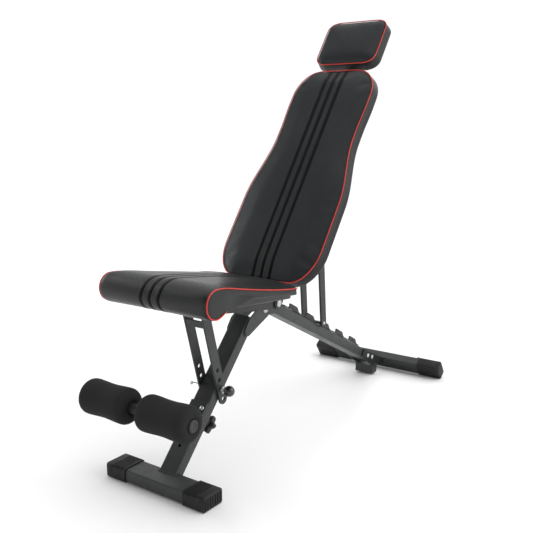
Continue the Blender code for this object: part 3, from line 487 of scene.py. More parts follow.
def dome_ends(points, rings, radius):
    """Adds two shrinking rings at each end of an open tube."""
    out = list(rings)
    for end, inner in ((0, 1), (-1, -2)):
        tip = points[end]
        t = (tip - points[inner]).normalized()
        extra = [[tip + t * radius * share + (q - tip) * scale for q in rings[end]]
                 for share, scale in ((0.55, 0.82), (0.9, 0.42))]
        out = extra[::-1] + out if end == 0 else out + extra
    return out


def cord_piece(name, points, radius, closed, look, body, slot, spacing, rounds=2):
    """A stiff round cord or wire along a line of points."""
    line = smoothed(resample(points, spacing, closed), closed, rounds)
    fitted(name, tube_along(line, radius, closed), look, body, close=closed, slot=slot)


def soften(obj, width, segments):
    """Rounds a CAD node's sharp edges in the render, without touching its mesh."""
    weld = obj.modifiers.new("weld", 'WELD')
    weld.merge_threshold = 0.00001
    bevel = obj.modifiers.new("soft_edges", 'BEVEL')
    bevel.width = width
    bevel.segments = segments
    bevel.limit_method = 'ANGLE'
    bevel.angle_limit = math.radians(40)
    normal = obj.modifiers.new("even_normals", 'WEIGHTED_NORMAL')
    normal.keep_sharp = False


# ---------------- cloth
def puff(obj, pinned, cap):
    """Inflates a closed cover between its pinned seams, and caps how far a point moves."""
    scene = bpy.context.scene
    work = obj.copy()
    work.data = obj.data.copy()
    work.parent = None
    work.matrix_world = Matrix.Identity(4)
    scene.collection.objects.link(work)
    group = work.vertex_groups.new(name="pins")
    group.add([int(i) for i in pinned], 1.0, 'REPLACE')
    cloth = work.modifiers.new("cloth", 'CLOTH')
    s = cloth.settings
    s.vertex_group_mass = "pins"
    s.use_pressure = True
    s.uniform_pressure_force = CLOTH_PRESSURE
    s.effector_weights.gravity = 0.0
    s.tension_stiffness, s.compression_stiffness = 15.0, 8.0
    s.shear_stiffness, s.bending_stiffness = 8.0, 6.0
    s.quality = 6
    s.mass = 0.25
    cloth.point_cache.frame_start, cloth.point_cache.frame_end = 1, CLOTH_FRAMES
    for f in range(1, CLOTH_FRAMES + 1):
        scene.frame_set(f)
    graph = bpy.context.evaluated_depsgraph_get()
    done = work.evaluated_get(graph).to_mesh()
    new = np.zeros(len(obj.data.vertices) * 3)
    old = np.zeros_like(new)
    done.vertices.foreach_get("co", new)
    obj.data.vertices.foreach_get("co", old)
    move = (new - old).reshape(-1, 3)
    size = np.linalg.norm(move, axis=1, keepdims=True)
    move *= np.tanh(size / cap) * cap / np.maximum(size, 1e-9)
    obj.data.vertices.foreach_set("co", old + move.ravel())
    obj.data.update()
    scene.frame_set(1)
    bpy.data.objects.remove(work)


def finish_pad(pad, pins, cap, node):
    """Puffs a cushion up between its pins, smooths it and lets it stand for its CAD node."""
    puff(pad, pins, cap)
    fine = pad.modifiers.new("fine", 'SUBSURF')
    fine.levels = fine.render_levels = 1
    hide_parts(node)


def surface_tree(obj):
    return BVHTree.FromObject(obj, bpy.context.evaluated_depsgraph_get())


def eased(count, edge_share=0.5):
    """-1..1 in count steps, closer together near both ends."""
    ts = [-1 + 2 * i / count for i in range(count + 1)]
    return [(1 - edge_share) * t + edge_share * math.sin(t * math.pi / 2) for t in ts]


# ---------------- backrest and headrest
PIVOT = Vector(JOINTS["backrest_recline"]["pos_m"])
ALONG = Vector(JOINTS["headrest_slide"]["axis"]).normalized()
OUT = Vector((1, 0, 0)).cross(ALONG)            # out of the pads' faces
ACROSS = Vector((1, 0, 0))


def pad_extent(node):
    """Lowest and highest (across, along, out) of a pad in the backrest's own axes."""
    pts = [v.co - PIVOT for v in NODES[node].data.vertices]
    rows = [(p.dot(ACROSS), p.dot(ALONG), p.dot(OUT)) for p in pts]
    return [min(r[k] for r in rows) for k in range(3)], [max(r[k] for r in rows) for k in range(3)]


def back_point(x, v, z):
    """A point given across, along and out of the backrest."""
    return PIVOT + ACROSS * x + ALONG * v + OUT * z


def back_width(v, length, hip):
    """Half width of the backrest a distance v up from its lower end."""
    def ease(a, b):
        t = min(max((v - a) / (b - a), 0.0), 1.0)
        return t * t * (3 - 2 * t)
    waist, shoulder = hip * WAIST_SHARE, hip * SHOULDER_SHARE
    w = hip + (waist - hip) * ease(HIP_END, WAIST_FROM)
    w += (shoulder - waist) * ease(WAIST_END, SHOULDER_FROM)
    w -= PAD_FLARE
    for d, span, depth in ((v, LOW_ROUND, LOW_IN), (length - v, HIGH_ROUND, HIGH_IN)):
        if d < span:
            t = 1 - d / span
            w -= depth * (1 - math.sqrt(max(1 - t * t, 0.0)))
    return w


def head_width(v, length, half, corner=0.030):
    """Half width of the headrest, with round corners, a distance v up from its lower end."""
    d = min(v, length - v)
    if d >= corner:
        return half
    t = 1 - d / corner
    return half - corner * (1 - math.sqrt(max(1 - t * t, 0.0)))


class PadGrid:
    """A pad drawn on one grid: a crowned face, a side band under a seam, and a flat back."""

    def __init__(self, low, high, width, rim_r=PAD_RIM_R, rim_drop=PAD_RIM_DROP, crown=0.0015,
                 flare=PAD_FLARE, end_flare=END_FLARE):
        self.flare, self.end_flare = flare, end_flare
        self.v0, self.length = low[1], high[1] - low[1]
        self.back, self.face = low[2], high[2]
        self.seam = self.face - rim_drop
        self.width, self.rim_r, self.rim_drop, self.crown = width, rim_r, rim_drop, crown
        half = high[0]
        self.nu = 2 * round(half * 1.05 / PAD_CELL)
        self.nv = 2 * round(self.length * 0.55 / PAD_CELL)
        self.us = eased(self.nu)
        self.vs = [(1 + t) / 2 * self.length for t in eased(self.nv, 0.35)]
        self.plan = [[(u * width(v), v) for u in self.us] for v in self.vs]
        self.rim = self.boundary()

    def boundary(self):
        """Grid indices round the edge, in order."""
        nu, nv = self.nu, self.nv
        return ([(0, j) for j in range(nu)] + [(i, nu) for i in range(nv)]
                + [(nv, j) for j in range(nu, 0, -1)] + [(i, 0) for i in range(nv, 0, -1)])

    def heights(self):
        """Height of the face over the plan, falling to the seam round the rim."""
        edge = np.array([self.plan[i][j] for i, j in self.rim])
        flat = np.array([p for row in self.plan for p in row])
        gap = np.sqrt(((flat[:, None, :] - edge[None]) ** 2).sum(2)).min(1)
        t = np.clip(gap / self.rim_r, 0, 1)
        rise = self.rim_drop * (1 - (1 - t) ** 2.4) ** 0.75
        crown = self.crown * np.tanh(gap / 0.06)
        return (self.seam + rise + crown - self.crown).reshape(self.nv + 1, self.nu + 1)

    def build(self, part, cap):
        """The cushion, which stands for the frame's pad, with piping in its seam."""
        nu, nv = self.nu, self.nv
        heights = self.heights()
        flat = [p for row in self.plan for p in row]
        verts = [back_point(x, v + self.v0, z) for (x, v), z in zip(flat, heights.ravel())]
        cols = nu + 1
        faces = [(q, q + 1, q + cols + 1, q + cols)
                 for q in (i * cols + j for i in range(nv) for j in range(nu))]
        look = [0] * len(faces)
        uvs = [flat[q] for quad in faces for q in quad]
        seam = [i * cols + j for i, j in self.rim]
        band = self.add_band(verts, faces, look, uvs, seam)
        self.add_back(verts, faces, look, uvs, band)
        pad = make_piece(part + "_cushion", verts, faces, ["vinyl", "twill", "backing"], part,
                         uvs, look)
        finish_pad(pad, set(seam) | set(range(len(flat), len(verts))), cap, part + "_pad")
        self.add_piping(part)
        return pad

    def add_band(self, verts, faces, look, uvs, before):
        """Side band from the seam loop to the back's edge; returns its last loop."""
        ring = self.seam_ring()
        n = len(ring)
        run = loop_lengths(ring)
        outward = self.outward(ring)
        before_z = self.seam
        for share, out in BAND_LEVELS:
            z = self.seam - (self.seam - self.back) * share
            push = self.flare * out
            now = list(range(len(verts), len(verts) + n))
            for (x, v), (ox, ov) in zip(ring, outward):
                verts.append(back_point(x + ox * push, v + ov * push * self.end_flare + self.v0, z))
            bridge(faces, before, now)
            look += [1] * n
            for a, b in zip(run, run[1:]):
                uvs += [(a, before_z), (b, before_z), (b, z), (a, z)]
            before, before_z = now, z
        return before

    def seam_ring(self):
        return [self.plan[i][j] for i, j in self.rim]

    def outward(self, ring):
        """Unit vector out of the plan at each point of its edge."""
        out = []
        for k, a in enumerate(ring[-1:] + ring[:-1]):
            b = ring[(k + 1) % len(ring)]
            t = Vector((b[0] - a[0], b[1] - a[1])).normalized()
            out.append((t.y, -t.x))
        return out

    def add_piping(self, part):
        ring = self.seam_ring()
        line = [back_point(x + ox * PIPING_OUT, v + ov * PIPING_OUT + self.v0, self.seam + PIPING_UP)
                for (x, v), (ox, ov) in zip(ring, self.outward(ring))]
        cord_piece(part + "_piping", line, PIPING_R, True, "piping", part, "upholstery", PIPING_STEP)

    def add_back(self, verts, faces, look, uvs, edge):
        """Flat back, on the same grid inside the band's last loop."""
        nu, nv = self.nu, self.nv
        index = dict(zip(self.rim, edge))
        for i in range(1, nv):
            for j in range(1, nu):
                x, v = self.plan[i][j]
                index[(i, j)] = len(verts)
                verts.append(back_point(x * BACK_SHARE, v + self.v0, self.back))
        for i, j in ((i, j) for i in range(nv) for j in range(nu)):
            corners = [(i, j), (i + 1, j), (i + 1, j + 1), (i, j + 1)]
            faces.append([index[c] for c in corners])
            look.append(2)
            uvs += [self.plan[a][b] for a, b in corners]


def face_stripes(tree, grid):
    """Three bands laid along the backrest's face, following its surface."""
    for k in (-1, 0, 1):
        rows = []
        for i in range(STRIPE_ROWS + 1):
            v = STRIPE_END + (grid.length - 2 * STRIPE_END) * i / STRIPE_ROWS
            rows.append((back_point(k * STRIPE_PITCH, v + grid.v0, grid.face), v, OUT))
        strip_piece("backrest_stripe_%d" % (k + 2), strip_on(tree, rows), "backrest")


def strip_on(tree, rows):
    """Cross rows of points of a band that lies on a surface, five points wide."""
    out = []
    for p, run, n in rows:
        line = []
        for share, lift in ((-1.0, -STRIPE_SINK), (-0.86, STRIPE_PROUD), (0.0, STRIPE_PROUD * 1.15),
                            (0.86, STRIPE_PROUD), (1.0, -STRIPE_SINK)):
            q = p + ACROSS * (STRIPE_W / 2) * share
            hit = tree.ray_cast(q + n * 0.03, -n, 0.06)[0]
            if hit is not None:
                line.append(hit + n * lift)
        if len(line) == 5:
            out.append((line, run))
    return out


def strip_piece(name, strip, body):
    """Closed thin band from its cross rows, with its underside sunk into the pad."""
    rings = []
    for k, (line, _) in enumerate(strip):
        a, b = strip[max(k - 1, 0)][0][2], strip[min(k + 1, len(strip) - 1)][0][2]
        down = (b - a).cross(line[4] - line[0]).normalized()
        if down.dot(line[2] - (line[0] + line[4]) / 2) > 0:
            down = -down
        rings.append(line + [line[4] + down * 2 * STRIPE_SINK, line[0] + down * 2 * STRIPE_SINK])
    verts, faces = skin(rings)
    widths = (0.0, 0.001, STRIPE_W / 2, STRIPE_W - 0.001, STRIPE_W, STRIPE_W, 0.0)
    n = len(widths)
    uvs = [(widths[q % n], strip[q // n][1]) for f in faces for q in f]
    make_piece(name, verts, faces, ["stripe"], body, uvs)


def build_backrest():
    low, high = pad_extent("backrest_pad")
    grid = PadGrid(low, high, lambda v: back_width(v, high[1] - low[1], high[0]))
    pad = grid.build("backrest", BACK_CAP)
    face_stripes(surface_tree(pad), grid)


def build_headrest():
    low, high = pad_extent("headrest_pad")
    grid = PadGrid(low, high, lambda v: head_width(v, high[1] - low[1], high[0] - 0.005),
                   rim_r=0.026, rim_drop=0.011, crown=0.002, flare=0.005,
                   end_flare=HEAD_END_FLARE)
    grid.build("headrest", HEAD_CAP)


# ---------------- seat
def seat_section():
    """Side-view outline of the seat pad, from its rear top forward, round the roll and back."""
    low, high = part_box("seat_pad")
    r = SEAT_ROLL_R
    c = (low.y + r, high.z - r)
    rear_top = (high.y - 0.003, low.z + 0.0285)
    rear_low = (high.y - 0.001, low.z + BOARD_T * 0.6)
    top = (c[0] + SEAT_TOP_FLAT, c[1] + r - 0.004)
    pts = [rear_top]
    steps = 8
    for i in range(1, steps):
        t = i / steps
        pts.append((rear_top[0] + t * (top[0] - rear_top[0]),
                    rear_top[1] + (t ** 1.25) * (top[1] - rear_top[1])))
    pts += [top, (c[0] + 0.022, c[1] + r - 0.0012)]
    pts += arc(c, r, math.radians(80), math.radians(290), 28)
    pts += [(c[0] + 0.034, c[1] - r + 0.011), (c[0] + 0.050, c[1] - r + 0.0235),
            (c[0] + 0.062, low.z + UNDER_RISE + BOARD_T), rear_low]
    return pts


def inset_loop(pts, d):
    """A closed (y, z) loop moved inwards by about d."""
    after = pts[1:] + pts[:1]
    area = sum(p[0] * q[1] - q[0] * p[1] for p, q in zip(pts, after))
    flip = 1.0 if area > 0 else -1.0
    out = []
    for a, b, c in zip(pts[-1:] + pts[:-1], pts, after):
        a, b, c = Vector(a), Vector(b), Vector(c)
        t = ((b - a).normalized() + (c - b).normalized()).normalized()
        out.append((b.x - flip * t.y * d, b.y + flip * t.x * d))
    return out


def build_seat():
    low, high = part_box("seat_pad")
    half = high.x
    even = resample([(y, z, 0.0) for y, z in seat_section()], SEAT_CELL, True)
    section = [(p.x, p.y) for p in even]
    n = len(section)
    run = loop_lengths(section)
    under = underside_flags(section, low.z)
    columns = [u * half for u in eased(2 * round(half / PAD_CELL), 0.55)]
    verts, faces, look, uvs = [], [], [], []
    for x in columns:
        gap = half - abs(x)
        t = min(gap / SEAT_RIM_W, 1.0)
        d = SEAT_RIM * (1 - math.sqrt(1 - (1 - t) ** 2))
        loop = inset_loop(section, d) if d > 1e-6 else section
        verts += [(x, y, z + seat_crown(x / half, y, z, low, high)) for y, z in loop]
    for c in range(len(columns) - 1):
        for k in range(n):
            m = (k + 1) % n
            faces.append((c * n + k, c * n + m, (c + 1) * n + m, (c + 1) * n + k))
            look.append(2 if under[k] and under[m] else 0)
            x0, x1 = columns[c], columns[c + 1]
            uvs += [(x0, run[k]), (x0, run[k + 1]), (x1, run[k + 1]), (x1, run[k])]
    for end, side in ((0, -1), (len(columns) - 1, 1)):
        add_seat_side(verts, faces, look, uvs, section, end * n, side, half)
    pad = make_piece("seat_cushion", verts, faces, ["twill", "twill", "backing"], "seat",
                     uvs, look)
    pins = {c * n + k for c in range(len(columns)) for k in range(n) if under[k]}
    pins |= set(range(n)) | set(range((len(columns) - 1) * n, len(verts)))
    finish_pad(pad, pins, SEAT_CAP, "seat_pad")
    build_seat_board()
    build_seat_piping(section, half, under)
    build_seat_stripes(pad, section, under, run)


def build_seat_board():
    """Board that the seat is built on; its edge shows below the cover."""
    low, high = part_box("seat_pad")
    front_y, rear_y = low.y + SEAT_ROLL_R + 0.053, high.y - 0.014
    half = high.x - 0.004
    t = (rear_y - low.y - 0.0855) / (high.y - low.y - 0.0855)
    front_z, rear_z = low.z + 0.0265, low.z + UNDER_RISE * (1 - t) + 0.0003
    depth, slope = rear_y - front_y, rear_z - front_z
    rings = []
    for grow, lift in ((-0.003, 0.0), (0.0, 0.0018), (0.0, BOARD_T + 0.002), (-0.003, BOARD_T + 0.004)):
        rings.append([Vector((x, y + (front_y + rear_y) / 2,
                              front_z + slope * (y / depth + 0.5) + lift))
                      for x, y in rounded_rect(2 * (half + grow), depth + 2 * grow, 0.018)])
    fitted("seat_board", rings, "plastic_black", "seat", sharp=40)


def seat_crown(u, y, z, low, high):
    """How far the cover stands up at a share u of the half width: most along the rear top."""
    t = (y - low.y - 2 * SEAT_ROLL_R) / (high.y - low.y - 2 * SEAT_ROLL_R)
    if t <= 0 or z < low.z + 0.016:
        return 0.0
    return SEAT_CROWN * math.sin(min(t / 0.6, 1.0) * math.pi / 2) * (1 - abs(u) ** 3.5)


def underside_flags(section, floor_z):
    """True for the section points on the straight underside, behind the roll."""
    ys = [p[0] for p in section]
    front, rear = min(ys), max(ys)
    flags = []
    for y, z in section:
        t = (y - front - ROLL_DEPTH) / (rear - front - ROLL_DEPTH)
        line = floor_z + BOARD_T * 0.6 + (UNDER_RISE + 0.4 * BOARD_T) * (1 - t)
        flags.append(y > front + ROLL_DEPTH + 0.003 and z < line + 0.005)
    return flags


def add_seat_side(verts, faces, look, uvs, section, edge, side, half):
    """End panel inside the seam loop, slightly domed."""
    n = len(section)
    before = list(range(edge, edge + n))
    flat = inset_loop(section, SEAT_RIM)
    for d, rise in ((0.003, 0.0012), (0.008, 0.0022)):
        loop = inset_loop(section, SEAT_RIM + d)
        now = list(range(len(verts), len(verts) + n))
        verts += [(side * (half + rise), y, z) for y, z in loop]
        bridge(faces, before, now)
        look += [1] * n
        for k in range(n):
            m = (k + 1) % n
            uvs += [flat[k], flat[m], loop[m], loop[k]]
        before, flat = now, loop
    faces.append(tuple(before))
    look.append(1)
    uvs += list(flat)


def build_seat_piping(section, half, under):
    """Piping along each end's top edge and round the roll, ending under the seat."""
    loop = inset_loop(section, SEAT_RIM - 0.0014)
    for side, tag in ((1, "R"), (-1, "L")):
        pts = [(side * (half + 0.0002), y, z) for y, z in loop[:under.index(True)]]
        cord_piece("seat_piping_" + tag, pts, PIPING_R, False, "piping", "seat", "upholstery",
                   PIPING_STEP)


def build_seat_stripes(pad, section, under, run):
    """Three bands from the rear of the seat's top forward and round the roll."""
    tree = surface_tree(pad)
    n = len(section)
    rear = max(p[0] for p in section) - 0.008
    for k in (-1, 0, 1):
        rows = []
        for i, (y, z) in enumerate(section):
            if under[i] or y > rear:
                continue
            a, b = section[i - 1], section[(i + 1) % n]
            t = Vector((0, b[0] - a[0], b[1] - a[1])).normalized()
            rows.append((Vector((k * STRIPE_PITCH, y, z)), run[i], t.cross(ACROSS)))
        centre = Vector((0, sum(p[0] for p in section) / n, sum(p[1] for p in section) / n))
        if rows[0][2].dot(rows[0][0] - centre) < 0:
            rows = [(p, r, -out) for p, r, out in rows]
        strip_piece("seat_stripe_%d" % (k + 2), strip_on(tree, rows), "seat")


# ---------------- foam rollers and cross tube
def round_node(node):
    """Middle, half length and radius of a CAD node that is round about X."""
    low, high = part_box(node)
    return (low + high) / 2, (high.x - low.x) / 2, (high.z - low.z) / 2


def build_foam(tag, body):
    """Foam tube with round ends and a slight waist."""
    node = "foam_roller_" + tag
    mid, half, r = round_node(node)
    bore, end, waist, steps = 0.0131, 0.016, 0.0022, 14
    corner = arc((half - end, r - end), end, 0.0, math.pi / 2, 7)
    profile = [(-half, bore), (-half, r - end)] + [(-s, q) for s, q in corner][1:]
    for i in range(1, steps):
        s = -half + end + (2 * half - 2 * end) * i / steps
        profile.append((s, r - waist * math.cos(math.pi * s / (2 * (half - end))) ** 2))
    profile += corner[::-1] + [(half, bore)]
    obj = lathed("roller_foam_" + tag, mid, ACROSS, profile, 72, "foam_black", body, node,
                 close=True)


def build_cross_tube():
    mid, half, r = round_node("roller_cross_tube")
    wall, edge = 0.002, 0.0004
    profile = [(-half, r - wall), (-half, r - edge), (-half + edge, r), (half - edge, r),
               (half, r - edge), (half, r - wall)]
    lathed("cross_tube", mid, ACROSS, profile, 56, "steel_black", "front_leg",
           "roller_cross_tube", 35, close=True)


def ends_of(node):
    """Middle of a node at one end of the bench's width, its side, and its outer and inner X."""
    low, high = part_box(node)
    mid = (low + high) / 2
    return (mid, 1, high.x, low.x) if mid.x > 0 else (mid, -1, low.x, high.x)


def build_end_plug(tag):
    """Plug with a round-edged flange and a dished face."""
    node = "roller_end_plug_" + tag
    mid, side, outer, inner = ends_of(node)
    r, shank, flange = 0.0138, 0.0100, 0.004
    length = abs(outer - inner)
    face = length - flange
    profile = [(0.0, shank - 0.001), (0.001, shank), (face, shank), (face, r - 0.0006),
               (face + 0.0006, r), (face + 0.0018, r), (length - 0.0006, r - 0.0018),
               (length - 0.0002, r - 0.0035), (length - 0.0010, r - 0.0050),
               (length - 0.0012, 0.002)]
    lathed("tube_plug_" + tag, (inner, mid.y, mid.z), (side, 0, 0), profile, 48, "plastic_black",
           "front_leg", node, 35)


# ---------------- bolts and strut
BOLT_SIDES = 24


def hex_ring(centre, axis, s, size):
    """A hexagon's outline with the same point count as a bolt's turned rings."""
    u, v = basis_for(axis)
    ring = []
    for k in range(BOLT_SIDES):
        a = 2 * math.pi * k / BOLT_SIDES
        r = size / math.cos((a + math.pi / 6) % (math.pi / 3) - math.pi / 6)
        ring.append(centre + axis * s + spoke(u, v, a) * r)
    return ring


def bolt(name, node, shank_r, head_h, body):
    """Through bolt along X: domed head and washer on the right, nut and washer on the left."""
    mid, half, r = round_node(node)
    grip, hexa, head_r = half - head_h, r * 0.80, r * 0.86
    washer, edge = 0.0012, 0.0002
    rings = [hex_ring(mid, ACROSS, s, size) for s, size in
             ((-half, hexa * 0.90), (-half + 0.0006, hexa), (-grip - washer, hexa))]
    profile = [(-grip - washer, r), (-grip - edge, r), (-grip, r - edge), (-grip, shank_r),
               (grip, shank_r), (grip, r - edge), (grip + edge, r), (grip + washer, r),
               (grip + washer, head_r)] + dome(grip + washer, half, head_r)
    rings += turned(mid, ACROSS, profile, BOLT_SIDES)
    fitted(name, rings, "zinc", body, node, 40)


def dome(s0, s1, r, steps=5):
    """Profile of a domed head that rises from (s0, r) to nearly (s1, 0)."""
    out = []
    for i in range(1, steps + 1):
        a = math.pi / 2 * i / (steps + 0.6)
        out.append((s0 + (s1 - s0) * math.sin(a), r * math.cos(a)))
    out.append((s1, r * 0.08))
    return out


def in_side_view(outline, x, origin, angle):
    """A plane outline stood up in Y and Z at x, turned by an angle from +Y."""
    c, s = math.cos(angle), math.sin(angle)
    return [Vector((x, origin.y + a * c - b * s, origin.z + a * s + b * c)) for a, b in outline]


def build_strut_legs():
    """Flat bars with round ends, in place of the frame's slimmer ones."""
    edge = 0.0006
    for tag in ("R", "L"):
        node = "strut_leg_" + tag
        low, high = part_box(node)
        foot = round_node("strut_rod")[0]
        pivot = Vector(JOINTS["strut_swing"]["pos_m"])
        d = Vector((0, pivot.y - foot.y, pivot.z - foot.z))
        length, angle = d.length, math.atan2(d.z, d.y)
        outline = arc((0.0, 0.0), STRUT_FOOT_R, math.pi / 2, 1.5 * math.pi, 10)
        outline += arc((length, 0.0), STRUT_TOP_R, -math.pi / 2, math.pi / 2, 10)
        rings = [in_side_view(inset_loop(outline, inset), x, foot, angle) for x, inset in
                 ((low.x, edge), (low.x + edge, 0.0), (high.x - edge, 0.0), (high.x, edge))]
        fitted("strut_bar_" + tag, rings, "steel_black", "strut", node, 40)


def build_carriage_screw():
    """Small domed screw on the carriage plate."""
    mid = round_node("carriage_screw")[0]
    heights = [v.co.dot(POST_OUT) for v in NODES["carriage_screw"].data.vertices]
    start = mid - POST_OUT * (mid.dot(POST_OUT) - min(heights))
    length = max(heights) - min(heights)
    head = length - 0.004
    profile = [(0.0, 0.0026), (0.0004, 0.003), (head, 0.003), (head, 0.0056),
               (head + 0.0004, 0.0058)] + dome(head + 0.0008, length, 0.0057)
    lathed("carriage_screw_fine", start, POST_OUT, profile, BOLT_SIDES, "zinc", "front_leg",
           "carriage_screw", 40)


# ---------------- caps
REAR_ANGLE = math.radians(125.4)        # of the rear foot's section, from +Y


def rounded_rect(w, h, r, steps=5):
    out = []
    for i, (sx, sy) in enumerate(((1, 1), (-1, 1), (-1, -1), (1, -1))):
        centre = (sx * (w / 2 - r), sy * (h / 2 - r))
        out += arc(centre, r, i * math.pi / 2, (i + 1) * math.pi / 2, steps)
    return out


def foot_boot(node, body, w, h, wall, angle, grooves=0):
    """Rubber boot on a foot's end: a closed sleeve, with grooves across its top where it has any."""
    mid, side, outer, inner = ends_of(node)
    length = abs(outer - inner)
    if angle == 0.0:
        mid = Vector((mid.x, mid.y, h / 2))
    stations = [(0.0, -0.0006, 0.0), (0.0006, 0.0, 0.0)]        # along, growth, depth of groove
    for k in range(grooves):
        s = GROOVE_FROM + k * GROOVE_PITCH
        far = s + GROOVE_PITCH * GROOVE_SHARE
        stations += [(s, 0.0, 0.0), (s + 0.0006, 0.0, GROOVE), (far, 0.0, GROOVE),
                     (far + 0.0006, 0.0, 0.0)]
    stations += [(length - 0.0040, 0.0, 0.0), (length - 0.0022, -0.0004, 0.0),
                 (length - 0.0008, -0.0014, 0.0), (length, -0.0034, 0.0)]
    hole = rounded_rect(w - 2 * wall, h - 2 * wall, 0.004)
    rings = [in_side_view(hole, inner + side * s, mid, angle) for s in (length - BOOT_END, 0.0)]
    for s, grow, groove in stations:
        outline = rounded_rect(w + 2 * grow, h + 2 * grow - groove, max(BOOT_ROUND + grow, 0.003))
        middle = mid - Vector((0, 0, groove / 2))
        rings.append(in_side_view(outline, inner + side * s, middle, angle))
    fitted(node.replace("foot_cap", "foot_boot"), rings, "rubber_black", body, node, 38)
    if grooves:
        build_end_ribs(node, body, mid, side, outer, w, h)


def build_end_ribs(node, body, mid, side, outer, w, h):
    """Upright ribs moulded on the boot's outer face."""
    count, half, margin = 7, 0.0023, 0.006
    verts, faces = [], []
    for k in range(count):
        y = mid.y + (k - (count - 1) / 2) * (w - 0.016) / (count - 1)
        low_z, high_z = mid.z - h / 2 + margin, mid.z + h / 2 - margin
        corners = ((-1, -1, low_z), (1, -1, low_z), (1, 1, high_z), (-1, 1, high_z))
        v, f = skin([[Vector((outer + side * x, y + sy * (half + grow), z + grow * sz))
                      for sy, sz, z in corners]
                     for x, grow in ((-0.0016, 0.0), (0.0012, 0.0), (0.0020, -0.0007))])
        faces += [tuple(q + len(verts) for q in face) for face in f]
        verts += v
    make_piece(node.replace("foot_cap", "foot_boot_ribs"), verts, faces, ["rubber_black"],
               body, smooth=False)


# ---------------- knob, ball, pin and clip
KNOB_OUT = 0.012                # the hub stands this much longer than the frame's
POST_OUT = -Vector(JOINTS["knob_turn"]["axis"])         # out of the post's front face


def build_star_knob():
    """Six-lobed hand knob with a rounded rim and a dished face."""
    axis = Vector(JOINTS["knob_turn"]["axis"])
    on_axis = Vector(JOINTS["knob_turn"]["pos_m"])
    arms = [v.co - on_axis for v in NODES["star_knob"].data.vertices]
    near = min(p.dot(axis) for p in arms)
    far = max(p.dot(axis) for p in arms) + KNOB_OUT
    r = max((p - axis * p.dot(axis)).length for p in arms)
    grip = far - 0.016
    profile = [(near, 0.0045), (near, 0.0108), (near + 0.0006, 0.0112), (grip - 0.002, 0.0125),
               (grip - 0.0004, r * 0.86), (grip + 0.0010, r * 0.955), (grip + 0.0034, r),
               (grip + 0.0085, r), (grip + 0.0125, r * 0.97), (far - 0.0012, r * 0.88),
               (far, r * 0.72), (far, 0.0100), (far - 0.0012, 0.0092), (far - 0.0012, 0.0045)]

    def lobes(a, q, i):
        return q * (0.875 + 0.125 * math.cos(6 * a)) if 4 <= i <= 10 and q > 0.011 else q
    rings = turned(on_axis, axis, profile, 96, lobes)
    fitted("hand_knob", rings, "plastic_black", "clamp_knob", "star_knob", 50, close=True)


def build_ball():
    mid, _, r = round_node("pin_ball_knob")
    neck, tip = 0.0048, 0.12
    profile = arc((0.0, 0.0), r, math.pi - math.asin(neck / r), tip, 22)
    centre = (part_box("pin_ball_knob")[1].x - r, mid.y, mid.z)
    lathed("ball_knob", centre, ACROSS, profile, 48, "plastic_gloss", "locking_pin",
           "pin_ball_knob")


def build_pin():
    """Pin with a groove for its clip at the far end and a collar behind the ball."""
    low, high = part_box("pull_pin")
    mid = (low + high) / 2
    r, groove_r, collar_r = 0.005, 0.0038, 0.009
    end, collar = low.x, high.x - 0.010
    profile = [(end, groove_r), (end + 0.0012, r), (end + 0.0030, r), (end + 0.0034, groove_r),
               (end + 0.0046, groove_r), (end + 0.0050, r), (collar, r), (collar, 0.0084),
               (collar + 0.0006, collar_r), (collar + 0.0062, collar_r), (collar + 0.0070, 0.0082),
               (collar + 0.0070, 0.006), (high.x, 0.006)]
    lathed("locking_pin_shaft", (0, mid.y, mid.z), ACROSS, profile, 40, "zinc", "locking_pin",
           "pull_pin", 40, slot="steel_black")
    build_clip(end, mid)


def build_clip(x_end, mid):
    """Sprung wire on the far arm that the pin's end snaps through."""
    x, steps = x_end + 0.004, 25
    loop_r, eye_r, wire_r = 0.0068, 0.0035, 0.0013
    loop = arc((mid.y, mid.z), loop_r, math.radians(60), math.radians(360), steps)
    loop = [Vector((x - 0.0008 * i / steps, y, z)) for i, (y, z) in enumerate(loop)]
    tail = [Vector((x + dx, mid.y + dy, mid.z + dz)) for dx, dy, dz in
            ((-0.005, -0.024, 0.010), (-0.004, -0.017, 0.008), (-0.002, -0.010, 0.004))]
    eye = [tail[0] + Vector((0.0, -eye_r + eye_r * math.cos(a), eye_r * math.sin(a)))
           for a in (2 * math.pi * i / 12 for i in range(11, 0, -1))]
    line = eye + tail + loop[-3::-1]
    cord_piece("pin_clip_wire", line, wire_r, False, "zinc", "seat_arms", "zinc", 0.0015, 3)


# ---------------- small extras on the steel
def build_foot_screws():
    """Round-headed screws on the rear foot's upper rear face, just inside each cap."""
    mid = round_node("rear_foot_tube")[0]
    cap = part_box("rear_foot_cap_R")[0].x
    along = Vector((0, math.cos(REAR_ANGLE), math.sin(REAR_ANGLE)))
    out = Vector((0, along.z, -along.y))
    place = mid + along * 0.0165 + out * 0.0146
    profile = [(0.0, 0.0026), (0.0022, 0.0026), (0.0022, 0.0044), (0.0030, 0.0048)]
    profile += dome(0.0034, 0.0072, 0.0048)
    for side, tag in ((1, "R"), (-1, "L")):
        lathed("foot_screw_" + tag, (side * (cap - 0.007), place.y, place.z), out, profile,
               BOLT_SIDES, "steel_black", "rear_frame", sharp=40)


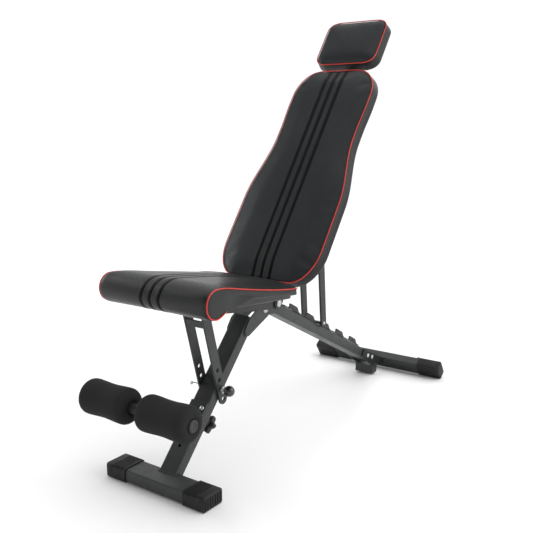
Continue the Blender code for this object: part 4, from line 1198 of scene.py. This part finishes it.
def weld_bead(name, points, body):
    """A rippled bead of weld laid along a line and painted with the frame."""
    radius, step, sides = 0.0019, 0.0012, 10
    line = resample(points, step, False)
    rng = random.Random(len(name) * 7 + len(points))
    rings = []
    n = len(line)
    for i, p in enumerate(line):
        t = (line[min(i + 1, n - 1)] - line[max(i - 1, 0)]).normalized()
        u, v = basis_for(t)
        r = radius * (0.86 + 0.14 * math.sin(2 * math.pi * i / 3.0)) * rng.uniform(0.95, 1.05)
        if i in (0, n - 1):
            r *= 0.4
        rings.append([p + spoke(u, v, 2 * math.pi * k / sides) * r for k in range(sides)])
    fitted(name, rings, "steel_grey", body)


def build_welds():
    """Beads where the front post meets the top of the foot."""
    foot_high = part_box("front_foot_tube")[1]
    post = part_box("front_post")
    near = [v.co for v in NODES["front_post"].data.vertices if v.co.z < foot_high.z + 0.001]
    front = min(p.y for p in near if p.z > foot_high.z - 0.001)
    x, z = post[1].x + 0.0004, foot_high.z + 0.0006
    for side, tag in ((1, "R"), (-1, "L")):
        pts = [Vector((side * x, front, z)), Vector((side * x, foot_high.y - 0.002, z))]
        weld_bead("weld_post_foot_" + tag, pts, "front_leg")
    weld_bead("weld_post_foot_front", [Vector((-x, front - 0.0005, z)),
                                       Vector((x, front - 0.0005, z))], "front_leg")


# ---------------- dressing the frame
def dress_cad():
    """Gives each carried-over CAD node its finish, and softens its edges."""
    flat_plates = ("rack_plate", "rail_hinge_plate", "post_ear", "seat_arm", "backrest_lug",
                   "strut_leg", "rear_bracket", "seat_side_plate", "roller_carriage_plate",
                   "back_cross_plate", "seat_cross_bar", "headrest_plate", "headrest_mount_block",
                   "arm_cross_strap", "rear_stop_block")
    for name, obj in NODES.items():
        if obj.hide_render:
            continue
        obj.data.materials.clear()
        obj.data.materials.append(LOOKS[SLOTS[name]])
        if name.startswith(flat_plates):
            soften(obj, EDGE_SOFT, 2)
        else:
            soften(obj, EDGE_SLIGHT, 1)


# ---------------- stage, light and camera
def build_stage():
    bpy.ops.mesh.primitive_plane_add(size=24.0, location=(0, 0, 0))
    floor = bpy.context.object
    floor.name = "floor"
    floor.data.materials.append(Mat("floor_white", (0.90, 0.90, 0.90), 0.7).mat)
    bpy.context.scene.world = bpy.context.scene.world or bpy.data.worlds.new("studio")
    light_world(bpy.context.scene.world)


def light_world(world):
    """Pale walls all round, with a ceiling that falls off to grey."""
    world.use_nodes = True
    tree = world.node_tree
    background = tree.nodes["Background"]
    coord = tree.nodes.new("ShaderNodeTexCoord")
    parts = tree.nodes.new("ShaderNodeSeparateXYZ")
    ramp = tree.nodes.new("ShaderNodeValToRGB")
    tree.links.new(coord.outputs["Generated"], parts.inputs[0])
    tree.links.new(parts.outputs["Z"], ramp.inputs["Fac"])
    tree.links.new(ramp.outputs["Color"], background.inputs["Color"])
    stops = ramp.color_ramp.elements
    stops[0].position, stops[0].color = 0.26, (1.0, 1.0, 1.0, 1.0)
    stops[1].position, stops[1].color = 0.55, (CEILING, CEILING, CEILING, 1.0)
    background.inputs["Strength"].default_value = WALL_LIGHT


def aimed(name, data, direction, place=(0, 0, 0)):
    """An object for a light or camera that looks along a direction."""
    obj = bpy.data.objects.new(name, data)
    bpy.context.scene.collection.objects.link(obj)
    obj.location = place
    obj.rotation_mode = 'QUATERNION'
    obj.rotation_quaternion = Vector(direction).to_track_quat("-Z", "Y")
    return obj


def sun_light(name, direction, strength, spread):
    light = bpy.data.lights.new(name, 'SUN')
    light.energy = strength
    light.angle = math.radians(spread)
    aimed(name, light, direction)


def area_light(name, place, target, size, power):
    light = bpy.data.lights.new(name, 'AREA')
    light.shape = 'RECTANGLE'
    light.size, light.size_y = size
    light.energy = power
    aimed(name, light, Vector(target) - Vector(place), place)


CAMERA_AT = Vector((1.0994, -1.6269, 0.8232))
CAMERA_AZ, CAMERA_EL = math.radians(35.47), math.radians(10.98)
CAMERA_LENS = 49.57


def build_camera():
    cam = bpy.data.cameras.new("camera")
    cam.sensor_width = 36.0
    cam.lens = CAMERA_LENS
    look = (-math.sin(CAMERA_AZ) * math.cos(CAMERA_EL),
            math.cos(CAMERA_AZ) * math.cos(CAMERA_EL), -math.sin(CAMERA_EL))
    bpy.context.scene.camera = aimed("camera", cam, look, CAMERA_AT)


# ---------------- the whole bench
build_backrest()
build_headrest()
build_seat()
for tag, roller in (("R", "roller_right"), ("L", "roller_left")):
    build_foam(tag, roller)
    build_end_plug(tag)
build_cross_tube()
bolt("fold_pivot_bolt_fine", "fold_pivot_bolt", 0.006, 0.0045, "rear_frame")
bolt("seat_pivot_bolt_fine", "seat_pivot_bolt", 0.006, 0.0045, "rear_frame")
for k in (1, 2):
    bolt("bracket_bolt_%d_fine" % k, "bracket_bolt_%d" % k, 0.004, 0.0045, "rear_frame")
bolt("arm_top_bolt_fine", "arm_top_rod", 0.005, 0.004, "seat_arms")
bolt("strut_pivot_bolt_fine", "strut_pivot_rod", 0.005, 0.003, "backrest")
build_strut_legs()
build_carriage_screw()
for tag in ("R", "L"):
    foot_boot("front_foot_cap_" + tag, "front_leg", 0.066, 0.036, 0.0030, 0.0, grooves=6)
for tag in ("R", "L"):
    foot_boot("rear_foot_cap_" + tag, "rear_frame", 0.055, 0.035, 0.0025, REAR_ANGLE)
build_star_knob()
build_ball()
build_pin()
build_foot_screws()
build_welds()
dress_cad()
build_stage()
sun_light("overhead", (-0.15, -0.35, -1.0), 3.0, 100.0)
area_light("left_box", (-3.0, -0.2, 1.3), (0, 0.0, 0.5), (1.4, 1.4), 24.0)
area_light("right_box", (2.6, 0.4, 1.6), (0, 0.0, 0.4), (1.2, 1.8), 22.0)
build_camera()
bpy.context.scene.view_settings.view_transform = 'Standard'
